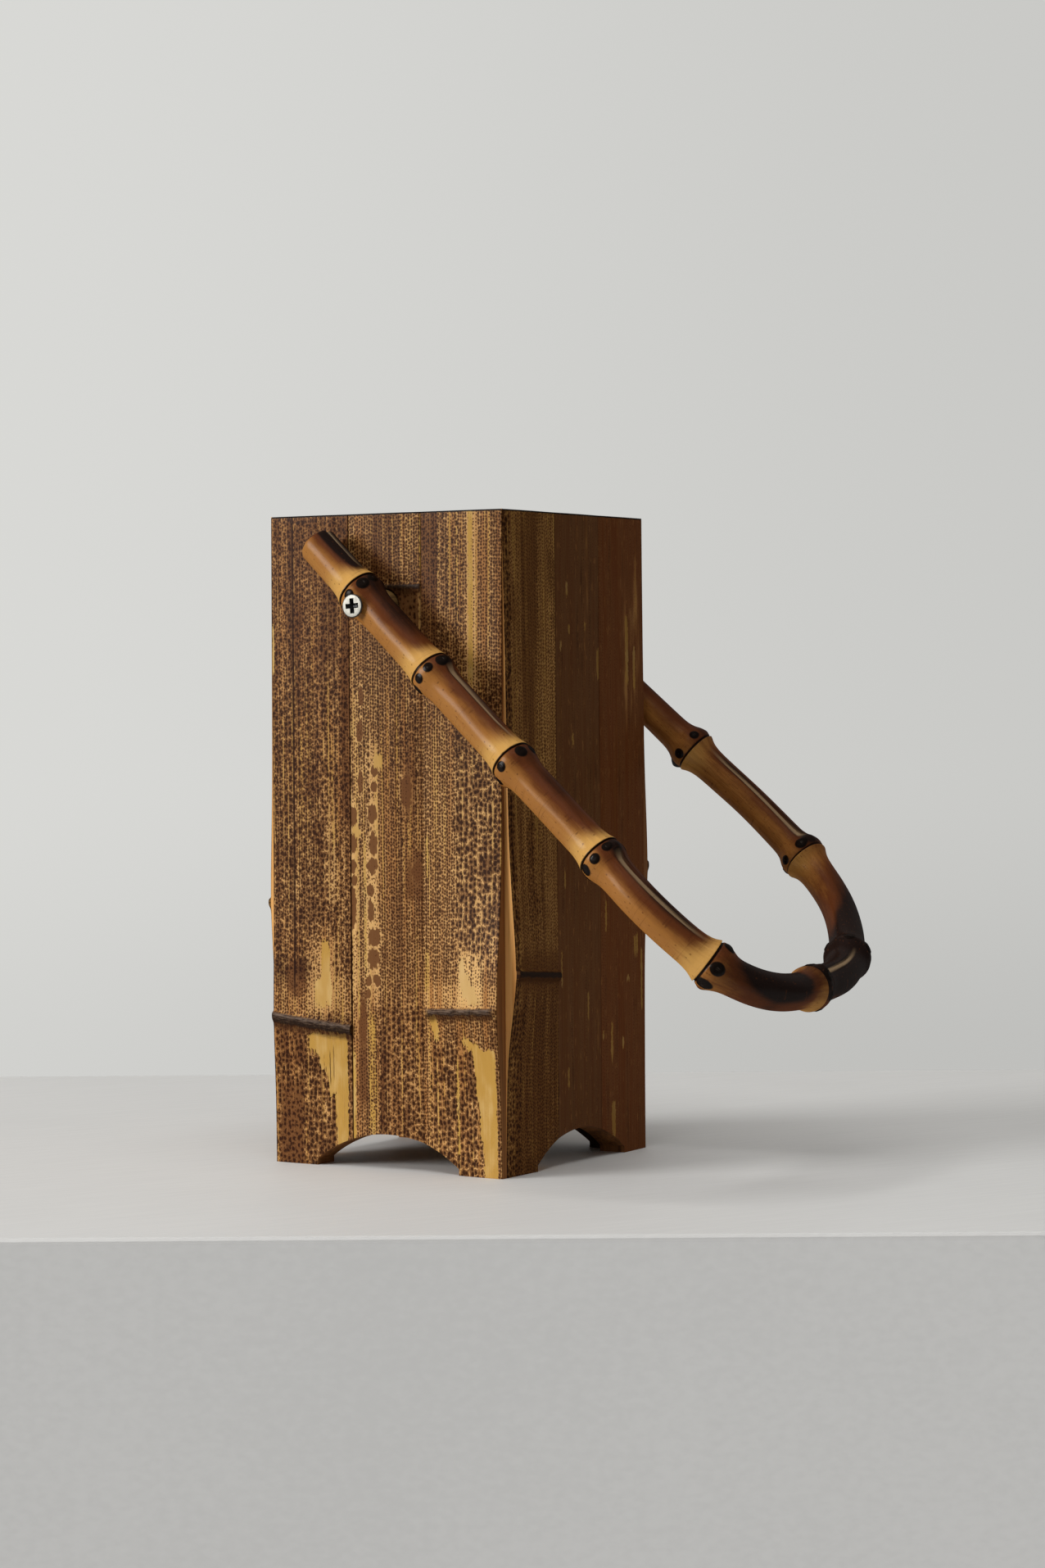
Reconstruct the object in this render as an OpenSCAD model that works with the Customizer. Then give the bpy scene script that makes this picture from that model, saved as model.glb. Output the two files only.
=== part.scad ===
/* [Body] */
// Width and depth of the square body, over its plain faces
side = 96; // [84:1:120]
// Height of the body
height = 228.5; // [205:0.5:250]
// Thickness of the slats
wall = 9.5; // [8:0.5:12]

/* [Slats] */
// Width of the middle slat of each face
middle_width = 30; // [24:1:38]
// How far the side faces' joints lie off centre, towards the back
side_shift = 1.5; // [0:0.5:4]
// Rind that stands proud of the plain face
rind = 0.2; // [0.1:0.1:0.6]
// Rise of the rind's curve in the middle of a slat
crown = 0.5; // [0.2:0.1:0.9]
// Height of the rounded bar of a culm node
bar_height = 3.6; // [2.5:0.1:5]
// Height over which a slat thickens above its node
swell_above = 30; // [20:1:40]
// Height over which a slat thins again below its node
swell_below = 22; // [14:1:30]

/* [Culm nodes] */
// Height of the node on the left slat of the front face
front_left_node = 51; // [31:1:71]
// Height of the node on the middle slat of the front face
front_middle_node = 203; // [190:1:203]
// Height of the node on the right slat of the front face
front_right_node = 57; // [37:1:77]
// Height of the node on the front slat of the right face
right_front_node = 69; // [49:1:89]
// Height of the node on the middle slat of the right face
right_middle_node = 118; // [98:1:138]
// Height of the node on the back slat of the right face
right_back_node = 150; // [130:1:170]
// Height of the node on the right slat of the back face
back_right_node = 104; // [84:1:124]
// Height of the node on the middle slat of the back face
back_middle_node = 62; // [42:1:82]
// Height of the node on the left slat of the back face
back_left_node = 140; // [120:1:160]
// Height of the node on the back slat of the left face
left_back_node = 66; // [46:1:86]
// Height of the node on the middle slat of the left face
left_middle_node = 158; // [138:1:178]
// Height of the node on the front slat of the left face
left_front_node = 92; // [72:1:112]

/* [Foot arches] */
// Width of the arch cut out of each face at the bottom
arch_width = 60; // [48:1:66]
// Height of the top of the arch
arch_height = 12.3; // [9:0.1:16]
// Height of the upright ends of the arch
arch_spring = 2.2; // [1.5:0.1:4]

/* [Inside] */
// Thickness of the board that closes the body
base_thickness = 9; // [6:0.5:14]
// Distance of the board above the arches
base_lift = 3; // [1:0.5:8]
// Diameter of the water liner
liner_d = 66; // [50:1:68]
// Height of the water liner
liner_height = 148; // [120:1:160]
// Thickness of the liner
liner_wall = 1.6; // [1.2:0.1:2.4]
// Rounding at the foot of the liner
liner_round = 5; // [3:0.5:8]
// Thickness of the rolled rim of the liner
liner_rim = 3.6; // [3:0.1:5]

/* [Handle] */
// Distance from the pivots to the centre line of the grip
reach = 197.6; // [185:0.2:215]
// Length of the ends past the pivots
tail = 31.3; // [26:0.1:34]
// Thickness of the rhizome at its root end, the front arm
root_d = 13.4; // [12.4:0.1:13.8]
// Thickness of the rhizome at its tip end, the back arm
tip_d = 11.6; // [11:0.1:12.4]
// Depth of the groove along each internode
groove = 0.8; // [0.3:0.1:1.2]
// Largest swelling of a rhizome node over its internode
node_swelling = 2.2; // [1:0.1:2.6]
// Length over which a rhizome node swells
node_length = 10; // [8:0.5:12]
// Angle of the handle below the level line as it hangs
droop = 41.5; // [30:0.5:55]

/* [Pivots] */
// Distance of the pivots below the top of the body
pivot_below = 32.5; // [24:0.5:44]
// Distance from the face of the body to the centre line of an arm at its pivot
arm_offset = 11.6; // [11.2:0.1:14]
// Distance of the pivot below the centre line of the arm, in the bud's swelling
pivot_drop = 1.8; // [0.5:0.1:2]
// Diameter of the screw shank
shank_d = 4.2; // [3.5:0.1:4.8]
// Diameter of the screw head
head_d = 8.2; // [7.2:0.1:9]
// Length of the screws
screw_length = 25.4; // [24:0.1:26]
// Height of the front head's face over the centre line of its arm
front_head = 8.9; // [8.4:0.1:9.4]
// Height of the back head's face over the centre line of its arm
back_head = 7.2; // [6.6:0.1:7.6]
// Depth of the flat on the front arm, from its centre line
front_flat = 7.2; // [6.2:0.1:7.4]
// Depth of the flat on the back arm, from its centre line
back_flat = 5.6; // [5:0.1:6]
// Diameter of the spacers between the arms and the body
spacer_d = 12; // [10:0.5:13]

/* [Fits] */
// Clearance between the handle and what it turns against
swing_gap = 0.3; // [0.2:0.05:0.5]
// Clearance of the screw thread in the wood
thread_gap = 0.05; // [0.02:0.01:0.1]
// Clearance of the screw shank in the spacers
shank_gap = 0.15; // [0.1:0.05:0.3]
// Clearance of the liner over the board
liner_gap = 0.3; // [0.1:0.1:0.5]

/* [Hidden] */
$fn = 64;

half = side / 2;
inner = half - wall;
base_z = arch_height + base_lift;
liner_z = base_z + base_thickness + liner_gap;
pivot_height = height - pivot_below;
half_span = half + arm_offset;

// How far above and below its node a slat has a cross-section
rows_above = [2, 1.4, 0.9, 0.55, 0.35, 0.2, 0.1, 0.04];
rows_bar = [0.3, 0.24, 0.08, -0.2, -0.48, -0.7];
rows_below = [-0.2, -0.35, -0.55, -0.85, -1.2, -1.7];

// Outline of the bar of a node, by its height over the bar's own height
bar_outline = [[-1.4, 0], [-0.9, 0.15], [-0.7, 0.45], [-0.48, 0.85], [-0.2, 1],
    [0.08, 0.9], [0.24, 0.6], [0.3, 0]];

// Centre line of the handle in its own plane, from the front end to the back end:
// share of the tail or of the reach, share of half the span, share of a node's largest swelling
handle_route = [
    [-1, -0.95, 0], [-0.2, -0.992, 0.68], [0.18, -1.05, 0.55], [0.411, -1.107, 0.59],
    [0.65, -1.15, 0.68], [0.785, -1.18, 0], [0.909, -1.087, 0.91], [0.97, -0.914, 0],
    [0.998, -0.654, 0], [1, -0.335, 0.77], [0.982, 0.134, 0], [0.951, 0.402, 0.95],
    [0.887, 0.705, 0], [0.81, 0.948, 0], [0.707, 1.083, 1], [0.554, 1.11, 0],
    [0.411, 1.048, 1], [0.253, 1.006, 0], [0.126, 1, 0.82], [-0.16, 0.997, 0],
    [-1, 0.965, 0]];
route_steps = 8;
handle_sides = 20;
// Where the handle has a ring near one of its nodes, along the growth of the rhizome, as
// shares of a node's length, and the share of its largest swelling there
node_outline = [[-0.9, 0], [-0.55, 0.14], [-0.3, 0.38], [-0.12, 0.75], [0, 0.95], [0.05, 0.72],
    [0.22, 1], [0.44, 0.9], [0.66, 0.45], [0.9, 0.15], [1.2, 0]];
ring_spacing = 9;

function mix(a, b, t) = a + (b - a) * t;

// How thick a slat is over the plain face at a distance above its node. foot is the share
// of the swelling that it keeps down to its foot.
function swelling(up, node_z, amount, foot) = up > 0
    ? amount * (0.45 * (1 - up / (height - node_z)) + 0.55 * exp(-pow(up / swell_above, 2)))
    : amount * mix(0.2 * (1 + up / node_z) + 0.8 * exp(-pow(up / swell_below, 2)), 1, foot);

// Heights of a slat's cross-sections, counted from its node
function slat_rows(node_z) = concat(
    [height - node_z],
    [for (r = rows_above) if (r * swell_above < height - node_z - 2) r * swell_above],
    [for (r = rows_bar) r * bar_height],
    [for (r = rows_below) if (r * swell_below > 2 - node_z) r * swell_below],
    [-node_z]);

// How far along a slat's length its node line has died out, from 1 at the node to 0 at the ends
function slope_share(up, node_z) = up > 0 ? 1 - up / (height - node_z) : 1 + up / node_z;

// One slat lofted from cross-sections: its flat back, its two joints and its rind.
// place is -1, 0 or 1 from left to right, and slope is the rise of the node line.
module slat_loft(place, shift, node_z, outer_swell, inner_swell, bar, slope, foot) {
    joint_left = -middle_width / 2 + shift;
    joint_right = middle_width / 2 + shift;
    left = place < 0 ? -half : place > 0 ? joint_right : joint_left;
    right = place < 0 ? joint_left : place > 0 ? half : joint_right;
    columns = [1, 0.7, 0.3, 0];
    rows = slat_rows(node_z);
    function amount(t) = place < 0 ? mix(outer_swell, inner_swell, t) : mix(inner_swell, outer_swell, t);
    function outer(up, t) = half + rind + crown * 4 * t * (1 - t)
        + swelling(up, node_z, amount(t), foot) + bar * lookup(up / bar_height, bar_outline);
    function lifted(up, x) = node_z + up + slope * (x - (left + right) / 2) * slope_share(up, node_z);
    function section(up) = concat(
        place < 0 ? [[-half, half], [-inner, inner], [right, inner]] : [],
        place == 0 ? [[left, inner], [right, inner]] : [],
        place > 0 ? [[left, inner], [inner, inner], [half, half]] : [],
        [for (t = columns) [mix(left, right, t), outer(up, t)]]);
    rings = [for (up = rows) [for (p = section(up)) [p[0], -p[1], lifted(up, p[0])]]];
    loft(rings);
}

// A closed solid through rings of as many points each
module loft(rings) {
    sides = len(rings[0]);
    last = len(rings) - 1;
    walls = [for (i = [0:last - 1]) for (j = [0:sides - 1]) let (k = (j + 1) % sides)
        each [[i * sides + j, i * sides + k, (i + 1) * sides + k],
            [i * sides + j, (i + 1) * sides + k, (i + 1) * sides + j]]];
    first_cap = [[for (j = [sides - 1:-1:0]) j]];
    last_cap = [[for (j = [0:sides - 1]) last * sides + j]];
    polyhedron([for (ring = rings) each ring], concat(first_cap, walls, last_cap));
}

// The arch that runs through a face at the bottom
module arch_cut(shift) {
    spring_w = arch_width / 2;
    rise = arch_height - arch_spring;
    radius = (spring_w * spring_w + rise * rise) / (2 * rise);
    translate([shift, 0, 0]) intersection() {
        translate([0, 0, arch_height - radius]) rotate([90, 0, 0]) cylinder(r = radius, h = side, $fn = 128);
        translate([-spring_w, -side, -1]) cube([arch_width, side, arch_height + 2]);
    }
}

function turn(face) = face == "right" ? 90 : face == "back" ? 180 : face == "left" ? 270 : 0;

module slat(face, place, node_z, outer_swell, inner_swell, bar, slope, foot = 0) {
    shift = face == "right" ? side_shift : face == "left" ? -side_shift : 0;
    rotate([0, 0, turn(face)]) difference() {
        slat_loft(place, shift, node_z, outer_swell, inner_swell, bar, slope, foot);
        arch_cut(shift);
        children();
    }
}

// Hole for a pivot screw and the flat seat of its spacer, in a face's own frame
module pivot_seat() {
    translate([0, 0, pivot_height]) rotate([90, 0, 0]) {
        cylinder(d = shank_d + 2 * thread_gap, h = side);
        translate([0, 0, half]) cylinder(d = spacer_d + 1, h = wall);
    }
}

module front_left_slat() { color("#8f6a3e") slat("front", -1, front_left_node, 1.3, 0.4, 1.3, -0.11); }
module front_middle_slat() { color("#9c7443") slat("front", 0, front_middle_node, 0.1, 0.1, 0.5, 0) pivot_seat(); }
module front_right_slat() { color("#a37b48") slat("front", 1, front_right_node, 5.9, 0.6, 1.4, 0.05, 0.5); }
module right_front_slat() { color("#574022") slat("right", -1, right_front_node, 4.4, 0.4, 1.6, -0.08); }
module right_middle_slat() { color("#4a2a1c") slat("right", 0, right_middle_node, 0.3, 0.3, 0, 0); }
module right_back_slat() { color("#45291a") slat("right", 1, right_back_node, 0.5, 0.3, 0, 0); }
module back_right_slat() { color("#8a6239") slat("back", -1, back_right_node, 3, 0.5, 1.3, 0.03); }
module back_middle_slat() { color("#94703f") slat("back", 0, back_middle_node, 0.7, 0.7, 1.1, -0.04) pivot_seat(); }
module back_left_slat() { color("#8f6a3e") slat("back", 1, back_left_node, 2.2, 0.4, 1.2, 0.05); }
module left_back_slat() { color("#856038") slat("left", -1, left_back_node, 2.6, 0.4, 1.3, 0.04); }
module left_middle_slat() { color("#8f6a3e") slat("left", 0, left_middle_node, 0.6, 0.6, 1.1, 0.03); }
module left_front_slat() { color("#94703f") slat("left", 1, left_front_node, 1.6, 0.4, 1.2, 0.05); }

module base_board() {
    color("#7a5a34") translate([-inner, -inner, base_z]) cube([2 * inner, 2 * inner, base_thickness]);
}

module liner() {
    r = liner_d / 2;
    inner_r = r - liner_wall;
    inner_round = liner_round - liner_wall;
    top = liner_height - liner_rim / 2;
    function foot_arc(radius, edge, floor) = [for (a = [-90:15:0])
        [edge - radius + radius * cos(a), floor + radius + radius * sin(a)]];
    color("#2e2a26") translate([0, 0, liner_z]) rotate_extrude() {
        polygon(concat(
            [[0, 0]],
            foot_arc(liner_round, r, 0),
            [[r, top], [inner_r, top]],
            [for (i = [6:-1:0]) foot_arc(inner_round, inner_r, liner_wall)[i]],
            [[0, liner_wall]]));
        translate([r - liner_wall / 2, top]) circle(d = liner_rim, $fn = 32);
    }
}

// The route in the handle's plane, smoothed between its points
route = [for (p = handle_route) [p[0] * (p[0] < 0 ? tail : reach), p[1] * half_span]];
function spline(a, b, c, d, t) = 0.5 * (2 * b + (c - a) * t + (2 * a - 5 * b + 4 * c - d) * t * t
    + (3 * b - a - 3 * c + d) * t * t * t);
route_last = len(route) - 1;
fine_route = concat([for (i = [0:route_last - 1]) for (j = [0:route_steps - 1])
    spline(route[max(i - 1, 0)], route[i], route[i + 1], route[min(i + 2, route_last)], j / route_steps)],
    [route[route_last]]);
fine_last = len(fine_route) - 1;
run = [for (i = 0, s = 0; i <= fine_last; i = i + 1,
    s = i <= fine_last ? s + norm(fine_route[i] - fine_route[i - 1]) : s) s];
along_u = [for (i = [0:fine_last]) [run[i], fine_route[i][0]]];
along_v = [for (i = [0:fine_last]) [run[i], fine_route[i][1]]];
handle_length = run[fine_last];
function route_point(s) = [lookup(s, along_u), lookup(s, along_v)];

// Run of each node of the rhizome, and its swelling
rhizome_nodes = [for (i = [0:route_last]) if (handle_route[i][2] > 0)
    [run[i * route_steps], handle_route[i][2] * node_swelling]];
node_last = len(rhizome_nodes) - 1;

// Rings at the nodes, at even steps between them, and at both cut ends
function even_runs(from, to) = let (n = ceil((to - from) / ring_spacing))
    n > 1 ? [for (k = [1:n - 1]) mix(from, to, k / n)] : [];
ring_first = node_outline[0][0] * node_length;
ring_after = node_outline[len(node_outline) - 1][0] * node_length;
handle_rings = concat(
    [0], even_runs(0, rhizome_nodes[0][0] + ring_first),
    [for (k = [0:node_last]) each concat(
        [for (p = node_outline) rhizome_nodes[k][0] + p[0] * node_length],
        even_runs(rhizome_nodes[k][0] + ring_after,
            k < node_last ? rhizome_nodes[k + 1][0] + ring_first : handle_length))],
    [handle_length]);

function handle_radius(s) = mix(root_d, tip_d, s / handle_length) / 2
    + max([for (n = rhizome_nodes) n[1] * lookup((s - n[0]) / node_length, node_outline)]);
// Internodes are grooved on one side and then on the other, clear of their nodes
function nodes_before(s) = len([for (n = rhizome_nodes) if (n[0] < s) n]);
function groove_side(s) = nodes_before(s) % 2 == 0 ? 90 : 270;
function groove_fade(s) = min([for (n = rhizome_nodes)
    min(1, max(0, abs(s - n[0]) / node_length - 0.6) / 0.8)]);
function groove_depth(s, a) = groove * groove_fade(s) * pow(max(0, cos(a - groove_side(s))), 8);

function handle_ring(s) = let (
    here = route_point(s),
    ahead = route_point(min(s + 1.5, handle_length)) - route_point(max(s - 1.5, 0)),
    across = [ahead[1], -ahead[0]] / norm(ahead))
    [for (j = [0:handle_sides - 1]) let (a = 360 * j / handle_sides, r = handle_radius(s) - groove_depth(s, a))
        [here[0] + across[0] * r * cos(a), here[1] + across[1] * r * cos(a), pivot_drop + r * sin(a)]];

// What the pivot takes out of an arm: the bore, the seat of the head and the flat
// against the spacer. outwards is -1 for the front arm and 1 for the back arm.
module pivot_cut(outwards, head, flat) {
    seat = half_span + head;
    cone = (head_d - shank_d) / 2;
    rotate([outwards < 0 ? 90 : -90, 0, 0]) {
        cylinder(d = shank_d + 2 * swing_gap, h = seat);
        translate([0, 0, seat - 0.5 - cone - swing_gap])
            cylinder(d1 = shank_d + 2 * swing_gap, d2 = head_d + 2 * swing_gap, h = cone);
        translate([0, 0, seat - 0.5 - swing_gap]) cylinder(d = head_d + 2 * swing_gap, h = arm_offset);
        translate([0, 0, half - wall]) cylinder(d = spacer_d + 3, h = wall + arm_offset - flat);
    }
}

module handle() {
    color("#b07a35") translate([0, 0, pivot_height]) rotate([0, droop, 0]) difference() {
        loft([for (s = handle_rings) handle_ring(s)]);
        pivot_cut(-1, front_head, front_flat);
        pivot_cut(1, back_head, back_flat);
    }
}

module spacer(outwards, flat) {
    color("#6b5230") translate([0, outwards * half, pivot_height]) rotate([outwards < 0 ? 90 : -90, 0, 0])
        difference() {
            cylinder(d = spacer_d, h = arm_offset - flat - swing_gap);
            translate([0, 0, -1]) cylinder(d = shank_d + 2 * shank_gap, h = arm_offset + 2);
        }
}

module screw(outwards, head) {
    cone = (head_d - shank_d) / 2;
    rim = 0.5;
    point = 3;
    slot = 1;
    color("#c9c9c6") translate([0, outwards * (half_span + head), pivot_height])
        rotate([outwards < 0 ? -90 : 90, 0, 0]) difference() {
            rotate_extrude() polygon([[0, 0], [head_d / 2, 0], [head_d / 2, rim], [shank_d / 2, rim + cone],
                [shank_d / 2, screw_length - point], [0.4, screw_length], [0, screw_length]]);
            for (a = [0, 90]) rotate([0, 0, a]) translate([-head_d * 0.3, -slot / 2, -1])
                cube([head_d * 0.6, slot, 2]);
        }
}

module front_spacer() { spacer(-1, front_flat); }
module back_spacer() { spacer(1, back_flat); }
module front_screw() { screw(-1, front_head); }
module back_screw() { screw(1, back_head); }

front_left_slat();
front_middle_slat();
front_right_slat();
right_front_slat();
right_middle_slat();
right_back_slat();
back_right_slat();
back_middle_slat();
back_left_slat();
left_back_slat();
left_middle_slat();
left_front_slat();
base_board();
liner();
handle();
front_spacer();
back_spacer();
front_screw();
back_screw();
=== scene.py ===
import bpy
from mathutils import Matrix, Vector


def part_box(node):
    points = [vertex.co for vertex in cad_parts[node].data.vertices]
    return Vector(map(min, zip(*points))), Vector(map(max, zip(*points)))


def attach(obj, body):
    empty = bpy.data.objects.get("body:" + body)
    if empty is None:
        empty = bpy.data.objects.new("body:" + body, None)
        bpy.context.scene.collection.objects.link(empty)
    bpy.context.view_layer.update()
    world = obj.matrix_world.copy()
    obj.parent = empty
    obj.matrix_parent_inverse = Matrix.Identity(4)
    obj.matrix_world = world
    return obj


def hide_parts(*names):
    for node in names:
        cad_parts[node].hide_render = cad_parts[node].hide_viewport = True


bl_info = {
    "name": "Bamboo vase",
    "version": (1, 0, 0),
    "blender": (4, 5, 0),
    "location": "3D View > Sidebar > Bamboo vase",
    "description": "Dresses a square vase of spotted bamboo slats with its rhizome bail handle",
    "category": "Object",
}

import math

import bmesh
import bpy
import numpy as np
from bpy.props import FloatProperty, FloatVectorProperty, PointerProperty
from bpy.types import Operator, Panel, PropertyGroup
from mathutils import Matrix, Vector
from mathutils.kdtree import KDTree

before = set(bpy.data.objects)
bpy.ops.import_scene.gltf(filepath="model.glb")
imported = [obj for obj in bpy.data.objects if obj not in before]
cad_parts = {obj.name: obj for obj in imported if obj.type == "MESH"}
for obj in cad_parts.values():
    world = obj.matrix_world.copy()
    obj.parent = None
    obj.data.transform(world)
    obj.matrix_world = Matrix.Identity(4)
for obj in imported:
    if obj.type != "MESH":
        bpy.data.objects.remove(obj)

MM = 0.001
# What the screws clear in the slats, in the spacers and in the handle, in millimetres
SLAT_CLEARANCE, SPACER_CLEARANCE, HANDLE_CLEARANCE = 0.05, 0.15, 0.3
# Thickness of the straight edge of a screw head, in millimetres
HEAD_EDGE = 0.5
# The stage, in metres: the camera, the shelf and how far in front of the camera the shelf begins
CAMERA_PLACE = (0.7080, -1.1136, 0.1671)
SHELF_SIZE = (3.6, 0.478, 0.6)
SHELF_NEAR = 1.121
BODY_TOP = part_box("front_middle_slat")[1].z


def tint(red, green, blue):
    """A colour as read off a swatch, from 0 to 255, as the linear values that a shader takes."""
    return tuple(
        c / 12.92 if c <= 0.04045 else ((c + 0.055) / 1.055) ** 2.4
        for c in (red / 255, green / 255, blue / 255)
    )


def length(name, description, default):
    return FloatProperty(
        name=name, description=description, default=default, min=0.0, unit="LENGTH", precision=4
    )


def colour(name, description, default):
    return FloatVectorProperty(
        name=name, description=description, default=default, size=3, subtype="COLOR", min=0.0, max=1.0
    )


def strength(name, description, default):
    return FloatProperty(name=name, description=description, default=default, min=0.0)


# Settings


class BodySizes(PropertyGroup):
    side: length("Side", "Width of the body over its plain faces", 0.096)
    height: length("Height", "Height of the body", BODY_TOP)
    wall: length("Wall", "Thickness of the slats", 0.0095)
    middle_width: length("Middle slat", "Width of the middle slat of each face", 0.030)
    side_shift: length("Joint shift", "How far the side faces' joints lie off centre", 0.0015)
    rind: length("Rind", "How far the rind stands proud of the plain face", 0.0002)
    crown: length("Crown", "Rise of the rind's curve in the middle of a slat", 0.00048)
    bar_height: length("Node bar", "Height of the rounded bar of a culm node", 0.0036)
    swell_above: length("Swelling above", "Height over which a slat thickens above its node", 0.030)
    swell_below: length("Swelling below", "Height over which a slat thins below its node", 0.022)
    arch_width: length("Arch width", "Width of the arch at the foot of each face", 0.060)
    arch_height: length("Arch height", "Height of the top of the arch", 0.0123)
    arch_spring: length("Arch spring", "Height of the upright ends of the arch", 0.0022)
    edge_round: length("Edge rounding", "Rounding of a slat's long edges", 0.00025)


class BambooColours(PropertyGroup):
    ground: colour("Ground", "Rind between the spots", tint(214, 166, 105))
    deep: colour("Deep ground", "Rind in the darker streaks", tint(170, 118, 66))
    golden: colour("Golden", "Bare rind near the nodes", tint(192, 148, 72))
    brown: colour("Brown", "Soft brown stain and the rims of the spots", tint(108, 67, 36))
    spot: colour("Spots", "Dark hearts of the spots", tint(44, 19, 7))
    node: colour("Node", "Weathered bar of a culm node", tint(44, 32, 26))
    wood: colour("Cut wood", "Cut edges of the slats", tint(216, 152, 84))
    lacquer: colour("Lacquer", "Lacquer on the cut ends", tint(26, 20, 17))
    inside: colour("Inside", "Stained inner wall", tint(70, 48, 32))


class HandleSizes(PropertyGroup):
    reach: length("Reach", "Distance from the pivots to the middle of the grip", 0.1976)
    tail: length("Tail", "Length of the ends past the pivots", 0.0313)
    root_d: length("Root end", "Thickness of the rhizome at the front arm", 0.0134)
    tip_d: length("Tip end", "Thickness of the rhizome at the back arm", 0.0116)
    node_swelling: length("Node swelling", "Largest swelling of a rhizome node", 0.0022)
    channel: length("Channel", "Depth of the channel along every second internode", 0.0009)
    arm_offset: length("Arm offset", "Distance from the body to the middle of an arm", 0.0116)
    pivot_below: length("Pivot below top", "Distance of the pivots below the top of the body", 0.0325)
    pivot_drop: length("Pivot drop", "Distance of the pivots below the middle of the arms", 0.0018)
    front_flat: length("Front flat", "Depth of the flat on the front arm", 0.0072)
    back_flat: length("Back flat", "Depth of the flat on the back arm", 0.0056)
    droop: FloatProperty(
        name="Droop",
        description="Angle of the handle below the level line",
        default=math.radians(41.5),
        subtype="ANGLE",
    )


class HandleColours(PropertyGroup):
    amber: colour("Amber", "Polished internodes", tint(166, 110, 54))
    golden: colour("Golden", "Flare before a node", tint(206, 156, 84))
    brown: colour("Brown", "Toasted side", tint(98, 52, 26))
    scorch: colour("Scorch", "Scorched bends and bands", tint(34, 22, 18))
    channel: colour("Channel", "Floor of the channels", tint(158, 132, 100))
    scar: colour("Root scar", "Trimmed roots at the nodes", tint(22, 14, 10))
    pith: colour("Pith", "Cut ends", tint(176, 138, 90))


class FittingSizes(PropertyGroup):
    head_d: length("Head", "Diameter of the screw heads", 0.0082)
    shank_d: length("Shank", "Diameter of the screw shanks", 0.0042)
    screw_length: length("Screw length", "Length of the screws", 0.0254)
    front_head: length("Front head", "Height of the front head over the middle of its arm", 0.0089)
    back_head: length("Back head", "Height of the back head over the middle of its arm", 0.0072)
    spacer_d: length("Spacer", "Diameter of the spacers", 0.012)
    liner_d: length("Liner", "Diameter of the water liner", 0.066)
    liner_height: length("Liner height", "Height of the water liner", 0.148)
    liner_wall: length("Liner wall", "Thickness of the liner", 0.0016)
    liner_round: length("Liner foot", "Rounding at the foot of the liner", 0.005)
    liner_rim: length("Liner rim", "Thickness of the rolled rim", 0.0036)


class FittingColours(PropertyGroup):
    steel: colour("Steel", "Plated screw heads", tint(176, 173, 162))
    # The recess colour is painted shade in the cross recess and a painted shadow ring at the edge of the head
    recess: colour("Recess", "Grime in the cross recess", tint(40, 40, 38))
    spacer: colour("Spacer", "Bamboo spacers", tint(120, 92, 52))
    board: colour("Board", "Base board", tint(150, 112, 70))
    liner: colour("Liner", "Moulded liner", tint(52, 44, 38))


class StageLook(PropertyGroup):
    floor: colour("Floor", "Shelf under the vase", tint(226, 225, 222))
    backdrop: colour("Backdrop", "Wall behind the vase", tint(206, 206, 203))
    key: strength("Key light", "Strength of the window light", 112.0)
    top: strength("Top light", "Strength of the soft top light", 56.0)
    fill: strength("Fill", "Strength of the room's own light", 0.16)


class VaseSettings(PropertyGroup):
    body: PointerProperty(type=BodySizes)
    bamboo: PointerProperty(type=BambooColours)
    handle: PointerProperty(type=HandleSizes)
    rhizome: PointerProperty(type=HandleColours)
    fittings: PointerProperty(type=FittingSizes)
    finishes: PointerProperty(type=FittingColours)
    stage: PointerProperty(type=StageLook)


class Millimetres:
    """The lengths of a group of sizes, in millimetres."""

    def __init__(self, group):
        self.group = group

    def __getattr__(self, name):
        return getattr(self.group, name) / MM


def all_sizes(settings):
    """The sizes of the body, the handle and the fittings, in millimetres."""
    return Millimetres(settings.body), Millimetres(settings.handle), Millimetres(settings.fittings)


# Shaders


class Value:
    """The output of a node, with the arithmetic that adds Math nodes to its material."""

    def __init__(self, shader, socket):
        self.shader = shader
        self.socket = socket

    def out(self, name):
        return Value(self.shader, self.socket.node.outputs[name])

    def math(self, operation, *values):
        return self.shader.add("ShaderNodeMath", {"operation": operation}, dict(enumerate(values)))

    def __add__(self, other):
        return self.math("ADD", self, other)

    def __sub__(self, other):
        return self.math("SUBTRACT", self, other)

    def __rsub__(self, other):
        return self.math("SUBTRACT", other, self)

    def __mul__(self, other):
        return self.math("MULTIPLY", self, other)

    __radd__ = __add__
    __rmul__ = __mul__

    def length(self):
        """The length of a vector."""
        return self.shader.add("ShaderNodeVectorMath", {"operation": "LENGTH"}, {0: self}, output="Value")

    def floor(self):
        return self.math("FLOOR", self)

    def size(self):
        """The number without its sign."""
        return self.math("ABSOLUTE", self)

    def at_least(self, other):
        return self.math("MAXIMUM", self, other)

    def at_most(self, other):
        return self.math("MINIMUM", self, other)


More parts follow.
